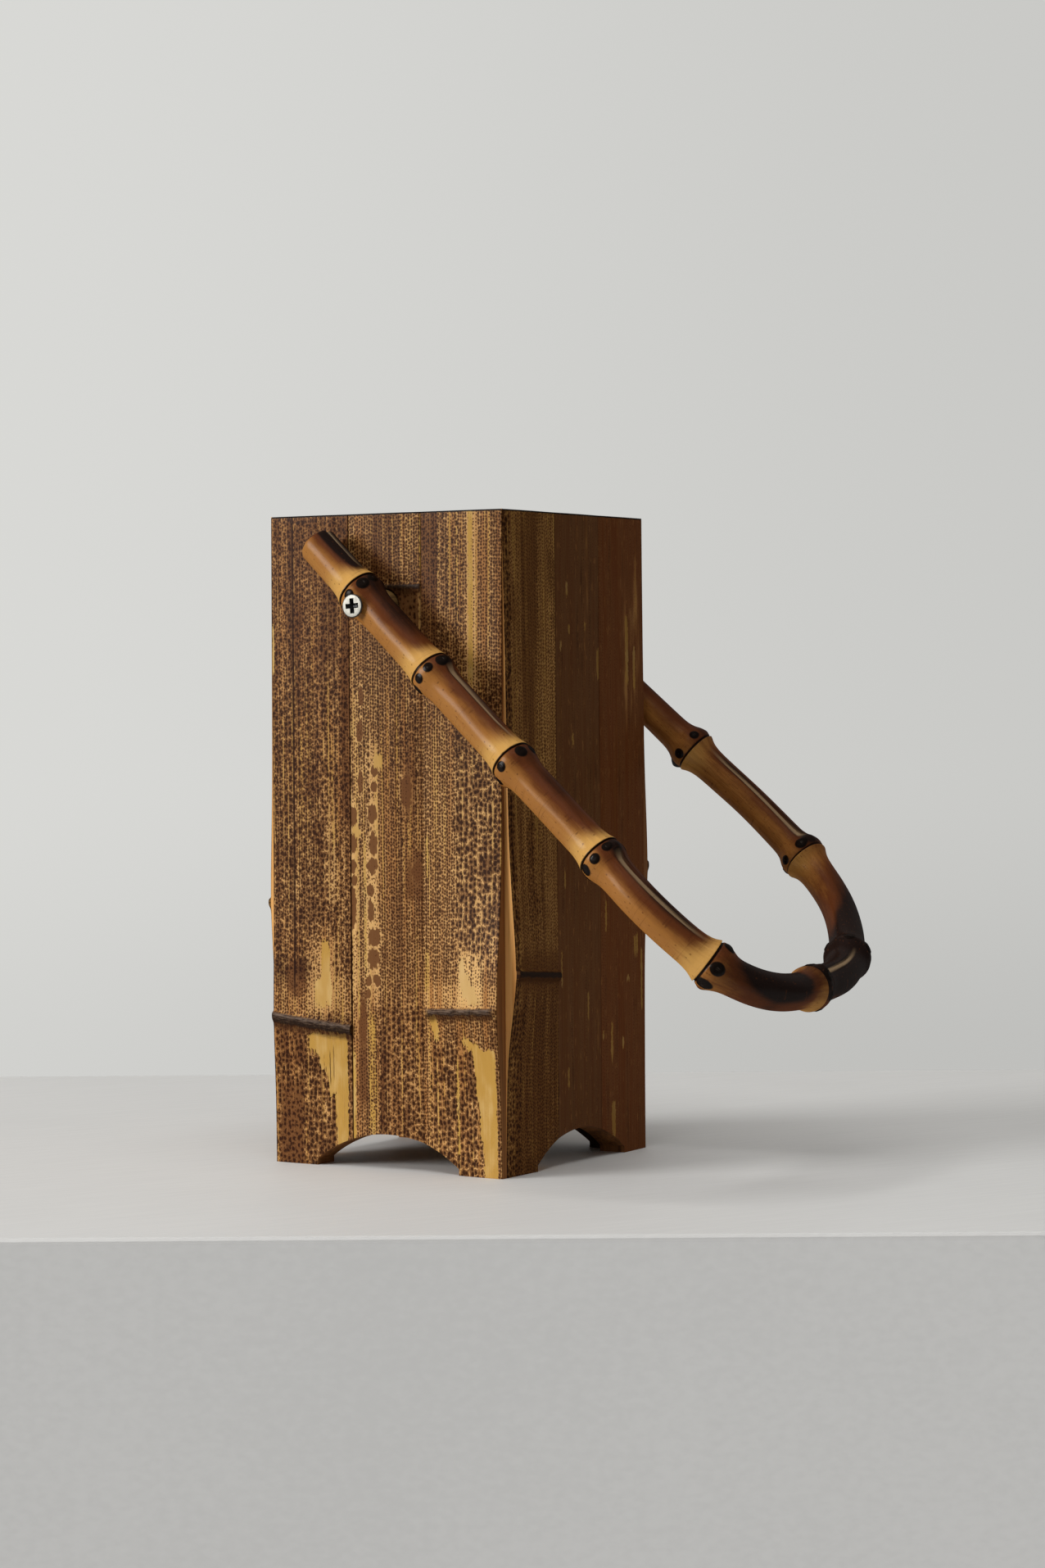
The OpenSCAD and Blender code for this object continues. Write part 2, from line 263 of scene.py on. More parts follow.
class Shader:
    """A new material or world, and the nodes that are added to it."""

    def __init__(self, owner):
        self.owner = owner
        owner.use_nodes = True
        self.tree = owner.node_tree
        self.tree.nodes.clear()

    def add(self, kind, settings=None, values=None, output=0):
        """A node of a kind, with its settings, and then the values or links of its sockets."""
        node = self.tree.nodes.new(kind)
        for name, setting in (settings or {}).items():
            setattr(node, name, setting)
        for key, value in (values or {}).items():
            self.feed(node.inputs[key], value)
        return Value(self, node.outputs[output]) if node.outputs else None

    def feed(self, socket, value):
        if isinstance(value, Value):
            self.tree.links.new(value.socket, socket)
        elif socket.type == "RGBA":
            socket.default_value = (*tuple(value)[:3], 1.0)
        else:
            socket.default_value = value

    def attribute(self, name):
        return self.add("ShaderNodeAttribute", {"attribute_name": name}, output="Vector")

    def parts(self, vector):
        """The three numbers of a vector."""
        split = self.add("ShaderNodeSeparateXYZ", {}, {0: vector})
        return split, split.out("Y"), split.out("Z")

    def point(self, x=0.0, y=0.0, z=0.0):
        return self.add("ShaderNodeCombineXYZ", {}, {0: x, 1: y, 2: z})

    def object_place(self):
        return self.parts(self.add("ShaderNodeTexCoord", output="Object"))

    def noise(self, vector, detail=2.0, roughness=0.5):
        return self.add(
            "ShaderNodeTexNoise",
            {"noise_dimensions": "3D"},
            {"Vector": vector, "Scale": 1.0, "Detail": detail, "Roughness": roughness},
        )

    def grain(self, x, y, z, detail=3.0):
        """Noise over the object, with as many waves to the metre along each axis."""
        place_x, place_y, place_z = self.object_place()
        return self.noise(self.point(place_x * x, place_y * y, place_z * z), detail)

    def cells(self, vector, evenness=1.0):
        return self.add(
            "ShaderNodeTexVoronoi",
            {"voronoi_dimensions": "2D", "feature": "F1"},
            {"Vector": vector, "Scale": 1.0, "Randomness": evenness},
        )

    def chance(self, number):
        """A random number for each whole number."""
        return self.add("ShaderNodeTexWhiteNoise", {"noise_dimensions": "1D"}, {"W": number})

    def step(self, value, start, end):
        """0 before start and 1 after end, with a soft rise between them. End may lie below start."""
        return self.add(
            "ShaderNodeMapRange",
            {"interpolation_type": "SMOOTHSTEP"},
            {"Value": value, "From Min": start, "From Max": end},
        )

    def within(self, value, low, high, start, end):
        """0 up to one distance inside both ends of a span and 1 from another."""
        half = (high - low) / 2
        return self.step((value - (low + high) / 2).size(), half - start, half - end)

    def blend(self, under, over, share):
        """A mix of two colours."""
        return self.add("ShaderNodeMix", {"data_type": "RGBA"}, {0: share, 6: under, 7: over}, output=2)

    def bump(self, height_mm, strength=1.0):
        return self.add("ShaderNodeBump", {}, {"Strength": strength, "Distance": MM, "Height": height_mm})

    def surface(self, **sockets):
        """The surface, from the names of its sockets with _ for a space."""
        return self.add("ShaderNodeBsdfPrincipled", {}, {k.replace("_", " "): v for k, v in sockets.items()})

    def end(self, surface, output="ShaderNodeOutputMaterial"):
        self.add(output, {}, {"Surface": surface})
        return self.owner

    def finish(self, **sockets):
        """The finished material, from the sockets of its surface."""
        return self.end(self.surface(**sockets))


def amount(s, across, up, base, zones):
    """A base amount with more or less of it in some zones of a slat, with soft edges. Each zone is
    (x0, x1, z0, z1, change, soft_x, soft_z) in millimetres."""
    total = base
    for x0, x1, z0, z1, change, soft_x, soft_z in zones:
        sides = s.within(across, x0, x1, -soft_x / 2, soft_x / 2)
        ends = s.within(up, z0, z1, -soft_z / 2, soft_z / 2)
        total = sides * ends * change + total
    return total


# Width and height of the cells that hold the fine and the heavy spots of the rind, in millimetres
FINE_CELL = (1.02, 1.2)
HEAVY_CELL = (1.95, 2.1)


def sesame_rind(name, colours, look):
    """Rind of spotted bamboo: dark spots with brown rims in rows along the fibres, brown stain, and bare
    golden patches and lines."""
    s = Shader(bpy.data.materials.new(name))
    seed = look["seed"]
    brown = look["brown"]
    across, up, over = s.parts(s.attribute("place"))

    def streaks(waves_across, waves_up, shift=0.0, detail=2.0, roughness=0.5):
        place = s.point(across * waves_across + seed, up * waves_up, seed + shift)
        return s.noise(place, detail, roughness)

    shake_x, shake_z, shake_size = (part - 0.5 for part in s.parts(streaks(0.9, 0.55, detail=1.0).out("Color")))
    fray = streaks(1.6, 0.09, 3.0, detail=3.0) - 0.5
    fibres = streaks(2.6, 0.03, detail=4.0, roughness=0.6) - 0.5
    bands = streaks(0.45, 0.012, 9.0) - 0.5
    clouds = streaks(0.2, 0.07, 17.0) - 0.5
    edge_across, edge_up = across + shake_x * 1.3, up + fray * 16.0

    def where(base, key):
        return amount(s, edge_across, edge_up, base, look[key])

    stain = where(look["stain"], "stains")
    fine = where(look["fine"], "fine_zones")
    heavy = where(look["heavy"], "heavy_zones")
    pale = where(0.0, "pale")
    bare_up = up + fray * look["fray"] + shake_z * 3.0
    bare = amount(s, edge_across, bare_up, 0.0, look["bare"])
    line = s.step(streaks(1.2, 0.011, 23.0), 0.57, 0.66)

    # The large ovals that are placed one by one, with pale halos
    spot_across, spot_up = across + shake_x * 0.7, up + shake_z * 1.3
    oval_gap = 9.0
    for x, z, width, height in look["ovals"]:
        gap = s.point((spot_across - x) * (2 / width), (spot_up - z) * (2 / height))
        oval_gap = gap.length().at_most(oval_gap)
    oval_gap = oval_gap + shake_size * 0.9 + fray * 0.5
    halo = s.step(oval_gap + shake_x * 0.8, 1.5, 1.1) * 0.4
    blots = s.step(oval_gap, 1.06, 0.9)

    # The fine and the heavy spots, in rows of cells along the fibres
    fine_x = (across + shake_x * 0.3) * (1 / FINE_CELL[0]) + seed
    odds = s.chance((fine_x + 0.33).floor())
    fine_cell = s.cells(s.point(fine_x, (up + shake_z * 1.2) * (1 / FINE_CELL[1]) + odds * 40.0), 0.4)
    fine_size = fine * 0.5 + 0.1 + (odds - 0.5) * 0.16 + bands * 0.35
    fine_size = fine_size + fibres * 0.14 - line * 0.16 - halo * 0.5
    heavy_x = spot_across * (1 / HEAVY_CELL[0]) + seed
    column = s.chance((heavy_x + 0.33).floor())
    heavy_cell = s.cells(s.point(heavy_x, spot_up * (1 / HEAVY_CELL[1]) + column * 40.0), 0.65)
    luck = s.parts(heavy_cell.out("Color"))[0]
    heavy_size = heavy * 0.5 + 0.06 + clouds * 0.5 + bands * 0.5
    heavy_size = heavy_size + (luck - 0.5) * 0.3 - line * 0.2 - halo * 0.5
    rims = s.step(fine_cell, fine_size, fine_size - 0.12)
    rims = rims.at_least(s.step(heavy_cell, heavy_size, heavy_size - 0.12))
    cores = s.step(fine_cell, fine_size * 0.64, fine_size * 0.64 - 0.2) * 0.95
    cores = cores.at_least(s.step(heavy_cell, heavy_size * 0.66, heavy_size * 0.66 - 0.2))

    # The ground, its stain and its spots
    tone = s.blend(look["deep"], look["ground"], s.step(bands + fibres * 0.8, -0.2, 0.12))
    tone = s.blend(tone, colours.golden, line * 0.7)
    tone = s.blend(tone, tint(236, 192, 126), (pale + halo * 0.3).at_most(1.0) * 0.8)
    tone = s.blend(tone, brown, s.step(stain + bands * 1.1 + fibres * 0.5 + clouds * 0.5, 0.3, 0.7) * 0.9)
    shadows = s.step(bands * 0.8 + fibres * 0.9 + clouds * 0.4, 0.06, 0.34) * look["streak"]
    tone = s.blend(tone, tint(52, 27, 14), shadows)
    tone = s.blend(tone, brown, blots.at_most(0.95))
    tone = s.blend(tone, brown, rims * 0.85)
    tone = s.blend(tone, colours.spot, cores * 0.92)

    # The bare patches, with flecks and cracks
    gold = s.blend(colours.golden, tint(214, 178, 116), s.step(clouds + fibres * 0.5, -0.05, 0.22) * 0.6)
    gold = s.blend(gold, tint(156, 108, 56), s.step(fibres - shake_x * 0.1, 0.05, 0.21) * 0.35)
    gold = s.blend(gold, tint(222, 184, 128), pale * 0.7)
    shown = s.step(bare + fray * 0.5 - cores * 0.12 - rims * 0.08, 0.34, 0.5) * look["gold"]
    tone = s.blend(tone, gold, shown)
    flecks = s.step(streaks(1.15, 0.2, 31.0), 0.62, 0.7)
    tone = s.blend(tone, colours.deep, flecks * look["flecks"])
    cracks = amount(s, across + shake_x * 0.3, up, 0.0, look["cracks"])
    tone = s.blend(tone, colours.spot, cracks)

    # The weathered bar of the node, and the painted shadow under it
    left, right = look["joints"]
    depth = look["bar_depth"]
    ends = s.within(across, left, right, 0.0, look["bar_taper"])
    wobble = s.noise(s.point(across * 0.3 + seed, seed), detail=3.0) - 0.5
    node_edge = over + fray * 1.3 + wobble * 2.6
    on_bar = s.step(node_edge + (1.0 - ends) * 1.4, -depth, 0.8 - depth)
    on_bar = on_bar * s.step(over - wobble, 1.1, 0.3) * ends * look["bar"]
    # Grey strands on the bar, more of them towards its top: partly weathered strands, partly a painted
    # highlight on the bar's top
    shreds = s.noise(s.point(across * 0.28, over * 2.6, seed), detail=4.0, roughness=0.6)
    grey_strands_and_highlight = s.step(shreds + over * 0.09, 0.36, 0.6) * look["grey_strands_and_highlight"]
    tone = s.blend(tone, s.blend(colours.node, tint(126, 104, 88), grey_strands_and_highlight), on_bar * 0.95)
    # Painted shadow: a dark band just under the bar, where the bar's shade falls
    painted_shadow_under_bar = s.step(node_edge + shreds * 2.0, -1.6 - depth, 0.6 - depth)
    painted_shadow_under_bar = painted_shadow_under_bar * s.step(node_edge, 1.2 - depth, -depth)
    tone = s.blend(tone, tint(66, 38, 20), painted_shadow_under_bar * ends * look["bar"] * 0.8)

    # The glued joints and the lacquered top
    seam = s.within(across, left, right, 0.5, 0.05)
    tone = s.blend(tone, tint(40, 22, 12), seam * look["seam"])
    rim = s.step(up + fray * 0.4, look["top"] - 0.75, look["top"] - 0.4)
    tone = s.blend(tone, colours.lacquer, rim)

    height = fibres * 0.16 + cores * -0.05 + on_bar * shreds * 0.7 - cracks * 0.3
    return s.finish(
        Base_Color=tone,
        Roughness=0.46 + on_bar * 0.2 + fibres * 0.2 + cores * 0.08,
        Normal=s.bump(height, 0.8),
        Specular_IOR_Level=0.0,
        Coat_Weight=0.03,
        Coat_IOR=2.2,
        Coat_Roughness=0.34,
    )


def cut_wood(name, light, dark):
    """Split culm wall: fine straight fibres along the slat."""
    s = Shader(bpy.data.materials.new(name))
    grain = s.grain(900.0, 900.0, 22.0)
    broad = s.grain(160.0, 160.0, 9.0, detail=2.0)
    tone = s.blend(dark, light, s.step(grain * 0.5 + broad * 0.5, 0.32, 0.62))
    height = s.bump(grain * 0.12, 0.6)
    return s.finish(Base_Color=tone, Roughness=0.6 + grain * 0.2, Normal=height, Specular_IOR_Level=0.15)


def lacquered_end(name, lacquer, wood, left, right, worn):
    """End grain with its vessels, under a thin dark lacquer that sinks in at the glued joints."""
    s = Shader(bpy.data.materials.new(name))
    x, y, z = s.object_place()
    across = s.parts(s.attribute("place"))[0]
    vessels = s.cells(s.point(x * 1400.0, y * 1400.0))
    clouds = s.noise(s.point(x * 160.0, y * 160.0, worn * 20.0), detail=3.0)
    shown = s.step(vessels, 0.34, 0.2)
    joint = s.within(across, left, right, 0.5, 0.15)
    mitre = s.step((x.size() - y.size()).size(), 0.5 * MM, 0.15 * MM)
    lines = joint.at_least(mitre)
    tone = s.blend(lacquer, wood, shown * 0.18 + s.step(clouds, 0.35, 0.7) * worn)
    tone = s.blend(tone, tint(8, 6, 5), lines)
    height = s.bump(shown * -0.06 - lines * 0.2)
    return s.finish(Base_Color=tone, Roughness=0.32 + shown * 0.2 + lines * 0.4, Normal=height)


def rhizome_skin(name, colours):
    """Polished bamboo rhizome: amber, toasted brown and scorched, with dark root scars at its nodes."""
    s = Shader(bpy.data.materials.new(name))
    run, round_x, round_y = s.parts(s.attribute("route"))
    scar, lip, floor = s.parts(s.attribute("marks"))
    scorch, gold, shade = s.parts(s.attribute("tone"))
    near = s.attribute("crease")
    streaks = s.noise(s.point(round_x * 0.8, round_y * 0.8, run * 0.035), detail=4.0, roughness=0.6)
    clouds = s.noise(s.point(round_x * 0.16, round_y * 0.16, run * 0.06), detail=3.0)
    grain = s.noise(s.point(round_x * 3.0, round_y * 3.0, run * 0.12), detail=3.0)
    blotches = s.noise(s.point(round_x * 0.5, round_y * 0.5, run * 0.16 + 40.0), detail=4.0, roughness=0.6)
    rings = s.noise(s.point(run * 2.4, round_x * 0.12, round_y * 0.12), detail=2.0)
    flecks = s.cells(s.point(run * 0.22, round_x * 0.5 + round_y * 0.31))
    tone = s.blend(colours.amber, colours.golden, s.step(gold + (clouds - 0.5) * 0.5, 0.15, 0.95))
    warm = s.step(streaks * 0.6 + clouds * 0.6, 0.62, 0.9) * (1.0 - gold) * 0.6
    tone = s.blend(tone, tint(158, 92, 42), warm)
    mottle = (clouds - 0.5) * 0.36 + (streaks - 0.5) * 0.28 + (blotches - 0.5) * 0.3
    tone = s.blend(tone, colours.brown, s.step(scorch + mottle, 0.12, 0.66))
    burn = s.step(scorch + shade * 0.7 + (clouds - 0.5) * 0.4 + (streaks - 0.5) * 0.25, 0.72, 1.3)
    tone = s.blend(tone, colours.scorch, burn)
    tone = s.blend(tone, tint(84, 46, 24), s.step(flecks, 0.10, 0.05) * 0.5)
    tone = s.blend(tone, tint(70, 36, 18), s.step(rings, 0.62, 0.74) * 0.3)
    tone = s.blend(tone, colours.channel, floor * (0.9 + (grain - 0.5) * 0.5))
    tone = s.blend(tone, colours.scorch, lip * 0.95)
    crease = s.step((near - 0.25).size(), 0.55, 0.25)
    tone = s.blend(tone, tint(30, 17, 11), crease * 0.95)
    ring = s.step(scar, 2.2, 1.8)
    tone = s.blend(tone, colours.scar, ring)
    # Painted glint: a paler grey centre in each root scar
    painted_scar_glint = s.step(scar, 0.75, 0.35)
    tone = s.blend(tone, tint(96, 84, 76), painted_scar_glint * s.step(grain, 0.5, 0.65) * 0.4)
    rough = 0.42 + (grain - 0.5) * 0.14 + ring * 0.10 + floor * 0.2 + crease * 0.2
    height = grain * 0.06 + crease * -0.2 + s.step((scar - 1.2).size(), 0.5, 0.1) * 0.12
    height = height + streaks * 0.2 + blotches * 0.7 + rings * 0.05
    return s.finish(
        Base_Color=tone,
        Roughness=rough,
        Normal=s.bump(height, 0.7),
        Specular_IOR_Level=0.0,
        Coat_Weight=0.062,
        Coat_IOR=2.3,
        Coat_Roughness=0.27,
    )


def rhizome_end(name, colours):
    """Cut end of the rhizome: pale pith with dark vessels, denser towards the skin."""
    s = Shader(bpy.data.materials.new(name))
    x, y, z = s.object_place()
    dots = s.step(s.cells(s.point(x * 1500.0, y * 1500.0 + z * 900.0)), 0.36, 0.2)
    clouds = s.grain(400.0, 400.0, 400.0)
    tone = s.blend(colours.pith, tint(120, 82, 48), s.step(clouds, 0.4, 0.7))
    tone = s.blend(tone, tint(66, 40, 24), dots * 0.8)
    return s.finish(Base_Color=tone, Roughness=0.6, Normal=s.bump(dots * -0.1))


def plated_steel(name, colours):
    """Bright plated steel, a little scuffed, with painted shade in the cross recess and a painted shadow ring
    at the edge of the head.
    """
    s = Shader(bpy.data.materials.new(name))
    scuff = s.grain(1600.0, 1600.0, 1600.0, detail=4.0)
    depth, painted_rim_shadow = s.parts(s.attribute("recess"))[:2]
    tone = s.blend(colours.steel, tint(150, 146, 136), s.step(scuff, 0.5, 0.75) * 0.5)
    # Painted shade down in the recess, and a painted shadow ring at the head's edge
    tone = s.blend(tone, colours.recess, s.step(depth, 0.005, 0.06).at_least(painted_rim_shadow * 0.9))
    return s.finish(
        Base_Color=tone,
        Metallic=0.4 - s.step(depth, 0.05, 0.4) * 0.4,
        Roughness=0.34 + scuff * 0.2,
        Normal=s.bump(scuff * 0.04, 0.6),
    )


def turned_bamboo(name, tone):
    """Spacer turned from culm wood, with fibres along it."""
    s = Shader(bpy.data.materials.new(name))
    x, y, z = s.object_place()
    grain = s.grain(900.0, 60.0, 900.0)
    dots = s.step(s.cells(s.point(x * 1300.0, z * 1300.0)), 0.34, 0.2)
    shade = s.blend(tone, tint(70, 48, 28), s.step(grain, 0.45, 0.75) * 0.7)
    shade = s.blend(shade, tint(50, 32, 20), dots * 0.4)
    return s.finish(Base_Color=shade, Roughness=0.5 + grain * 0.15)


def board_wood(name, tone):
    """Flat-sawn board: long wavy rings and fine pores."""
    s = Shader(bpy.data.materials.new(name))
    x, y, z = s.object_place()
    wave = s.grain(26.0, 6.0, 26.0, detail=2.0)
    rings = s.noise(s.point(x * 170.0 + wave * 6.0, y * 9.0, z * 120.0), detail=4.0)
    pores = s.grain(2200.0, 120.0, 2200.0, detail=1.0)
    shade = s.blend(tone, tint(104, 70, 40), s.step(rings, 0.42, 0.66) * 0.75)
    shade = s.blend(shade, tint(70, 46, 28), s.step(pores, 0.62, 0.72) * 0.5)
    return s.finish(Base_Color=shade, Roughness=0.55 + rings * 0.15, Normal=s.bump(pores * -0.05))


def moulded_plastic(name, tone):
    """Moulded liner: an even dark skin with a fine grain and faint water marks."""
    s = Shader(bpy.data.materials.new(name))
    grain = s.grain(1800.0, 1800.0, 1800.0, detail=2.0)
    marks = s.grain(60.0, 60.0, 140.0)
    shade = s.blend(tone, tint(96, 88, 78), s.step(marks, 0.55, 0.75) * 0.25)
    return s.finish(Base_Color=shade, Roughness=0.34 + marks * 0.18, Normal=s.bump(grain * 0.03, 0.5))


def shaded(colour, share):
    """A colour made lighter or darker, and no lighter than white."""
    return tuple(min(1.0, c * share) for c in colour)


def painted_shelf(name, tone):
    """Pale painted shelf with faint brush strokes. The photo shows no darker side below its top, so the
    camera sees that side lit evenly."""
    s = Shader(bpy.data.materials.new(name))
    x, y, z = s.object_place()
    strokes = s.noise(s.point(x * 22.0 + y * 14.0, y * 420.0 - x * 258.0, z * 420.0), detail=3.0)
    mottle = s.grain(9.0, 9.0, 9.0)
    share = s.step(strokes * 0.6 + mottle * 0.4, 0.3, 0.7)
    shade = s.blend(shaded(tone, 0.965), shaded(tone, 1.02), share)
    surface = s.surface(Base_Color=shade, Roughness=0.62, Normal=s.bump(strokes * 0.05, 0.4))
    below = s.step(z, SHELF_SIZE[2] / 2 - 0.0005, SHELF_SIZE[2] / 2 - 0.0025)
    seen = s.add("ShaderNodeLightPath", output="Is Camera Ray") * below
    glow = s.add("ShaderNodeEmission", {}, {"Color": shade, "Strength": 0.63})
    return s.end(s.add("ShaderNodeMixShader", {}, {0: seen, 1: surface, 2: glow}))


# Meshes


def write_values(mesh, key, vectors):
    layer = mesh.attributes.new(key, "FLOAT_VECTOR", "POINT")
    layer.data.foreach_set("vector", np.asarray(vectors, np.float32).ravel())


def read_values(mesh, key):
    layer = mesh.attributes[key]
    vectors = np.zeros(len(layer.data) * 3, np.float32)
    layer.data.foreach_get("vector", vectors)
    return vectors.reshape(-1, 3)


def in_scene(name, data):
    """An object in the scene, with a mesh, a lamp or a camera as its data."""
    holder = bpy.data.objects.new(name, data)
    bpy.context.scene.collection.objects.link(holder)
    return holder


def new_object(name, points, faces):
    """A mesh object in the scene, from points in millimetres."""
    mesh = bpy.data.meshes.new(name)
    mesh.from_pydata([tuple(p) for p in np.asarray(points, float) * MM], [], faces)
    return in_scene(name, mesh)


def new_piece(name, points, faces, materials, body, replaced, kinds=None, smooth=None, values=None):
    """A piece that rides on a body. kinds has each face's place in materials, smooth has whether each
    face is smooth, and values has vectors for each point."""
    piece = new_object(name, points, faces)
    mesh = piece.data
    for material in materials:
        mesh.materials.append(material)
    if kinds is not None:
        mesh.polygons.foreach_set("material_index", kinds)
    mesh.polygons.foreach_set("use_smooth", smooth if smooth is not None else [True] * len(faces))
    for key, vectors in (values or {}).items():
        write_values(mesh, key, vectors)
    mesh.update()
    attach(piece, body)
    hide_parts(*replaced)
    return piece


def apply_modifiers(piece):
    """Keeps the shape that the modifiers of a piece give it."""
    graph = bpy.context.evaluated_depsgraph_get()
    made = bpy.data.meshes.new_from_object(piece.evaluated_get(graph))
    piece.modifiers.clear()
    old = piece.data
    piece.data = made
    made.name = piece.name
    bpy.data.meshes.remove(old)


def close(mesh):
    """Welds what a cut leaves behind, drops faces without area and fills the slits between them."""
    tiny = 0.001 * MM
    shape = bmesh.new()
    shape.from_mesh(mesh)
    bmesh.ops.remove_doubles(shape, verts=shape.verts, dist=tiny)
    bmesh.ops.dissolve_degenerate(shape, edges=shape.edges, dist=tiny)
    bmesh.ops.holes_fill(shape, edges=[edge for edge in shape.edges if edge.is_boundary])
    shape.to_mesh(mesh)
    shape.free()


def cut_away(piece, tools):
    """Takes the shapes of the tools out of a piece, whose points keep their values, and removes the
    tools. A new point takes the values of the nearest old ones."""
    old = piece.data
    vectors = [item.name for item in old.attributes if item.data_type == "FLOAT_VECTOR"]
    kept = {key: read_values(old, key) for key in vectors if key != "position"}
    tree = KDTree(len(old.vertices))
    for vertex in old.vertices:
        tree.insert(vertex.co, vertex.index)
    tree.balance()
    for tool in tools:
        cut = piece.modifiers.new("cut", "BOOLEAN")
        cut.operation = "DIFFERENCE"
        cut.solver = "EXACT"
        cut.object = tool
    apply_modifiers(piece)
    made = piece.data
    close(made)
    found = [tree.find_n(vertex.co, 3) for vertex in made.vertices]
    nearest = np.array([[index for co, index, gap in points] for points in found])
    weight = np.array([[1 / (gap + 1e-7) ** 2 for co, index, gap in points] for points in found])
    weight = weight / weight.sum(axis=1, keepdims=True)
    for key, vectors in kept.items():
        if key in made.attributes:
            made.attributes.remove(made.attributes[key])
        write_values(made, key, (vectors[nearest] * weight[..., None]).sum(axis=1))
    for tool in tools:
        bpy.data.objects.remove(tool)


def soft_peak(value, middle, width):
    """1 at the middle and near 0 beyond twice the width from it."""
    return np.exp(-(((value - middle) / width) ** 2))


def rounded(gap, radius):
    """How far a rounded edge falls back at a distance from the edge."""
    part = np.clip(radius - gap, 0, None)
    return radius - np.sqrt(np.maximum(radius**2 - part**2, 0.0))


def band(low, high, sides):
    """Faces between two rings of points that start at two places in the list of points."""
    return [(low + k, low + (k + 1) % sides, high + (k + 1) % sides, high + k) for k in range(sides)]


def rings(outline, sides):
    """Points of the rings about +Z that an outline of (radius, height) gives."""
    turns = [2 * math.pi * k / sides for k in range(sides)]
    return [(radius * math.cos(a), radius * math.sin(a), height) for radius, height in outline for a in turns]


def turned(outline, sides):
    """Points and faces of a closed solid turned about +Z from an outline of (radius, height), which
    starts and ends on the axis."""
    points = [(0, 0, outline[0][1]), *rings(outline[1:-1], sides), (0, 0, outline[-1][1])]
    rows = len(outline) - 2
    faces = []
    for k in range(sides):
        n = (k + 1) % sides
        faces.append((0, 1 + n, 1 + k))
        for row in range(rows - 1):
            a, b = 1 + row * sides, 1 + (row + 1) * sides
            faces.append((a + k, a + n, b + n, b + k))
        last = 1 + (rows - 1) * sides
        faces.append((last + k, last + n, len(points) - 1))
    return np.array(points), faces


def arc(centre, radius, start, end, steps):
    """Points on an arc, as (radius from the axis, height)."""
    turns = [math.radians(start + (end - start) * i / steps) for i in range(steps + 1)]
    return [(centre[0] + radius * math.cos(a), centre[1] + radius * math.sin(a)) for a in turns]


def pivot_place(settings, outwards, out=0.0):
    """Where a shape turned about +Z goes to point outwards along the pivots, -1 being the front, from a
    distance along them."""
    body, handle, fit = all_sizes(settings)
    height = (body.height - handle.pivot_below) * MM
    return Matrix.Translation((0, out * MM, height)) @ Matrix.Rotation(-outwards * math.pi / 2, 4, "X")


# The slats

FACES = {"front": 0, "right": 1, "back": 2, "left": 3}

# Each slat: its face, its place from left to right, the height of its node, how far it swells there at
# the corner and at the joint, the bar of the node, the rise of the node line, the share of the swelling
# at its foot, and the share over the node that thins evenly up to the top
SLATS = {
    "front_left": ("front", -1, 51, 1.3, 0.4, 1.3, -0.11, 0.0, 0.45),
    "front_middle": ("front", 0, 203, 0.1, 0.1, 0.5, 0.0, 0.0, 0.45),
    "front_right": ("front", 1, 57, 5.9, 0.6, 1.4, 0.05, 0.5, 0.45),
    "right_front": ("right", -1, 69, 4.4, 0.4, 1.6, -0.08, 0.0, 0.58),
    "right_middle": ("right", 0, 118, 0.3, 0.3, 0.0, 0.0, 0.0, 0.45),
    "right_back": ("right", 1, 150, 0.5, 0.3, 0.0, 0.0, 0.0, 0.45),
    "back_right": ("back", -1, 104, 3.0, 0.5, 1.3, 0.03, 0.0, 0.45),
    "back_middle": ("back", 0, 62, 0.7, 0.7, 1.1, -0.04, 0.0, 0.45),
    "back_left": ("back", 1, 140, 2.2, 0.4, 1.2, 0.05, 0.0, 0.45),
    "left_back": ("left", -1, 66, 2.6, 0.4, 1.3, 0.04, 0.0, 0.45),
    "left_middle": ("left", 0, 158, 0.6, 0.6, 1.1, 0.03, 0.0, 0.45),
    "left_front": ("left", 1, 92, 1.6, 0.4, 1.2, 0.05, 0.0, 0.45),
}

# Height up to which a slat's rows follow the arch, rounding of its top edge, and radius of the seat that
# a spacer has on it, in millimetres
FOOT = 20.0
TOP_ROUND = 0.45
SEAT_RADIUS = 6.5


def bared(x, node, above=1.0, below=1.0, side=1, wide=1.0, drop=1.0):
    """Bare patches that flare up from a node and run down from it to one side."""
    near, far = x + side * 2 * wide, x + side * 3 * wide
    return [
        (x - 4.5 * wide, x + 3.5 * wide, node + 3, node + 8, 0.75 * above, 3, 5),
        (x - 2.2 * wide, x + 1.2 * wide, node + 4, node + 8 + 9 * drop, 0.8 * above, 1.6, 9),
        (x - 5 * wide, x + 5 * wide, node - 13, node - 5, 0.85 * below, 3, 4),
        (near - 2.2 * wide, near + 2.2 * wide, node - 10 - 16 * drop, node - 10, 0.9 * below, 1.6, 8),
        (far - 1.3 * wide, far + 1.3 * wide, node - 18 - 34 * drop, node - 18, 0.9 * below, 1.0, 16),
    ]


# What a rind looks like where its own look says nothing else
COMMON_LOOK = {
    "seam": 0.7, "edge": "plain", "streak": 0.3, "gold": 1.0, "flecks": 0.12, "grey_strands_and_highlight": 0.8, "fray": 6.0,
    "bar_depth": 3.4, "bar_taper": 0.3, "stains": (), "fine_zones": (), "heavy_zones": (), "pale": (),
    "bare": (), "ovals": (), "cracks": (),
}

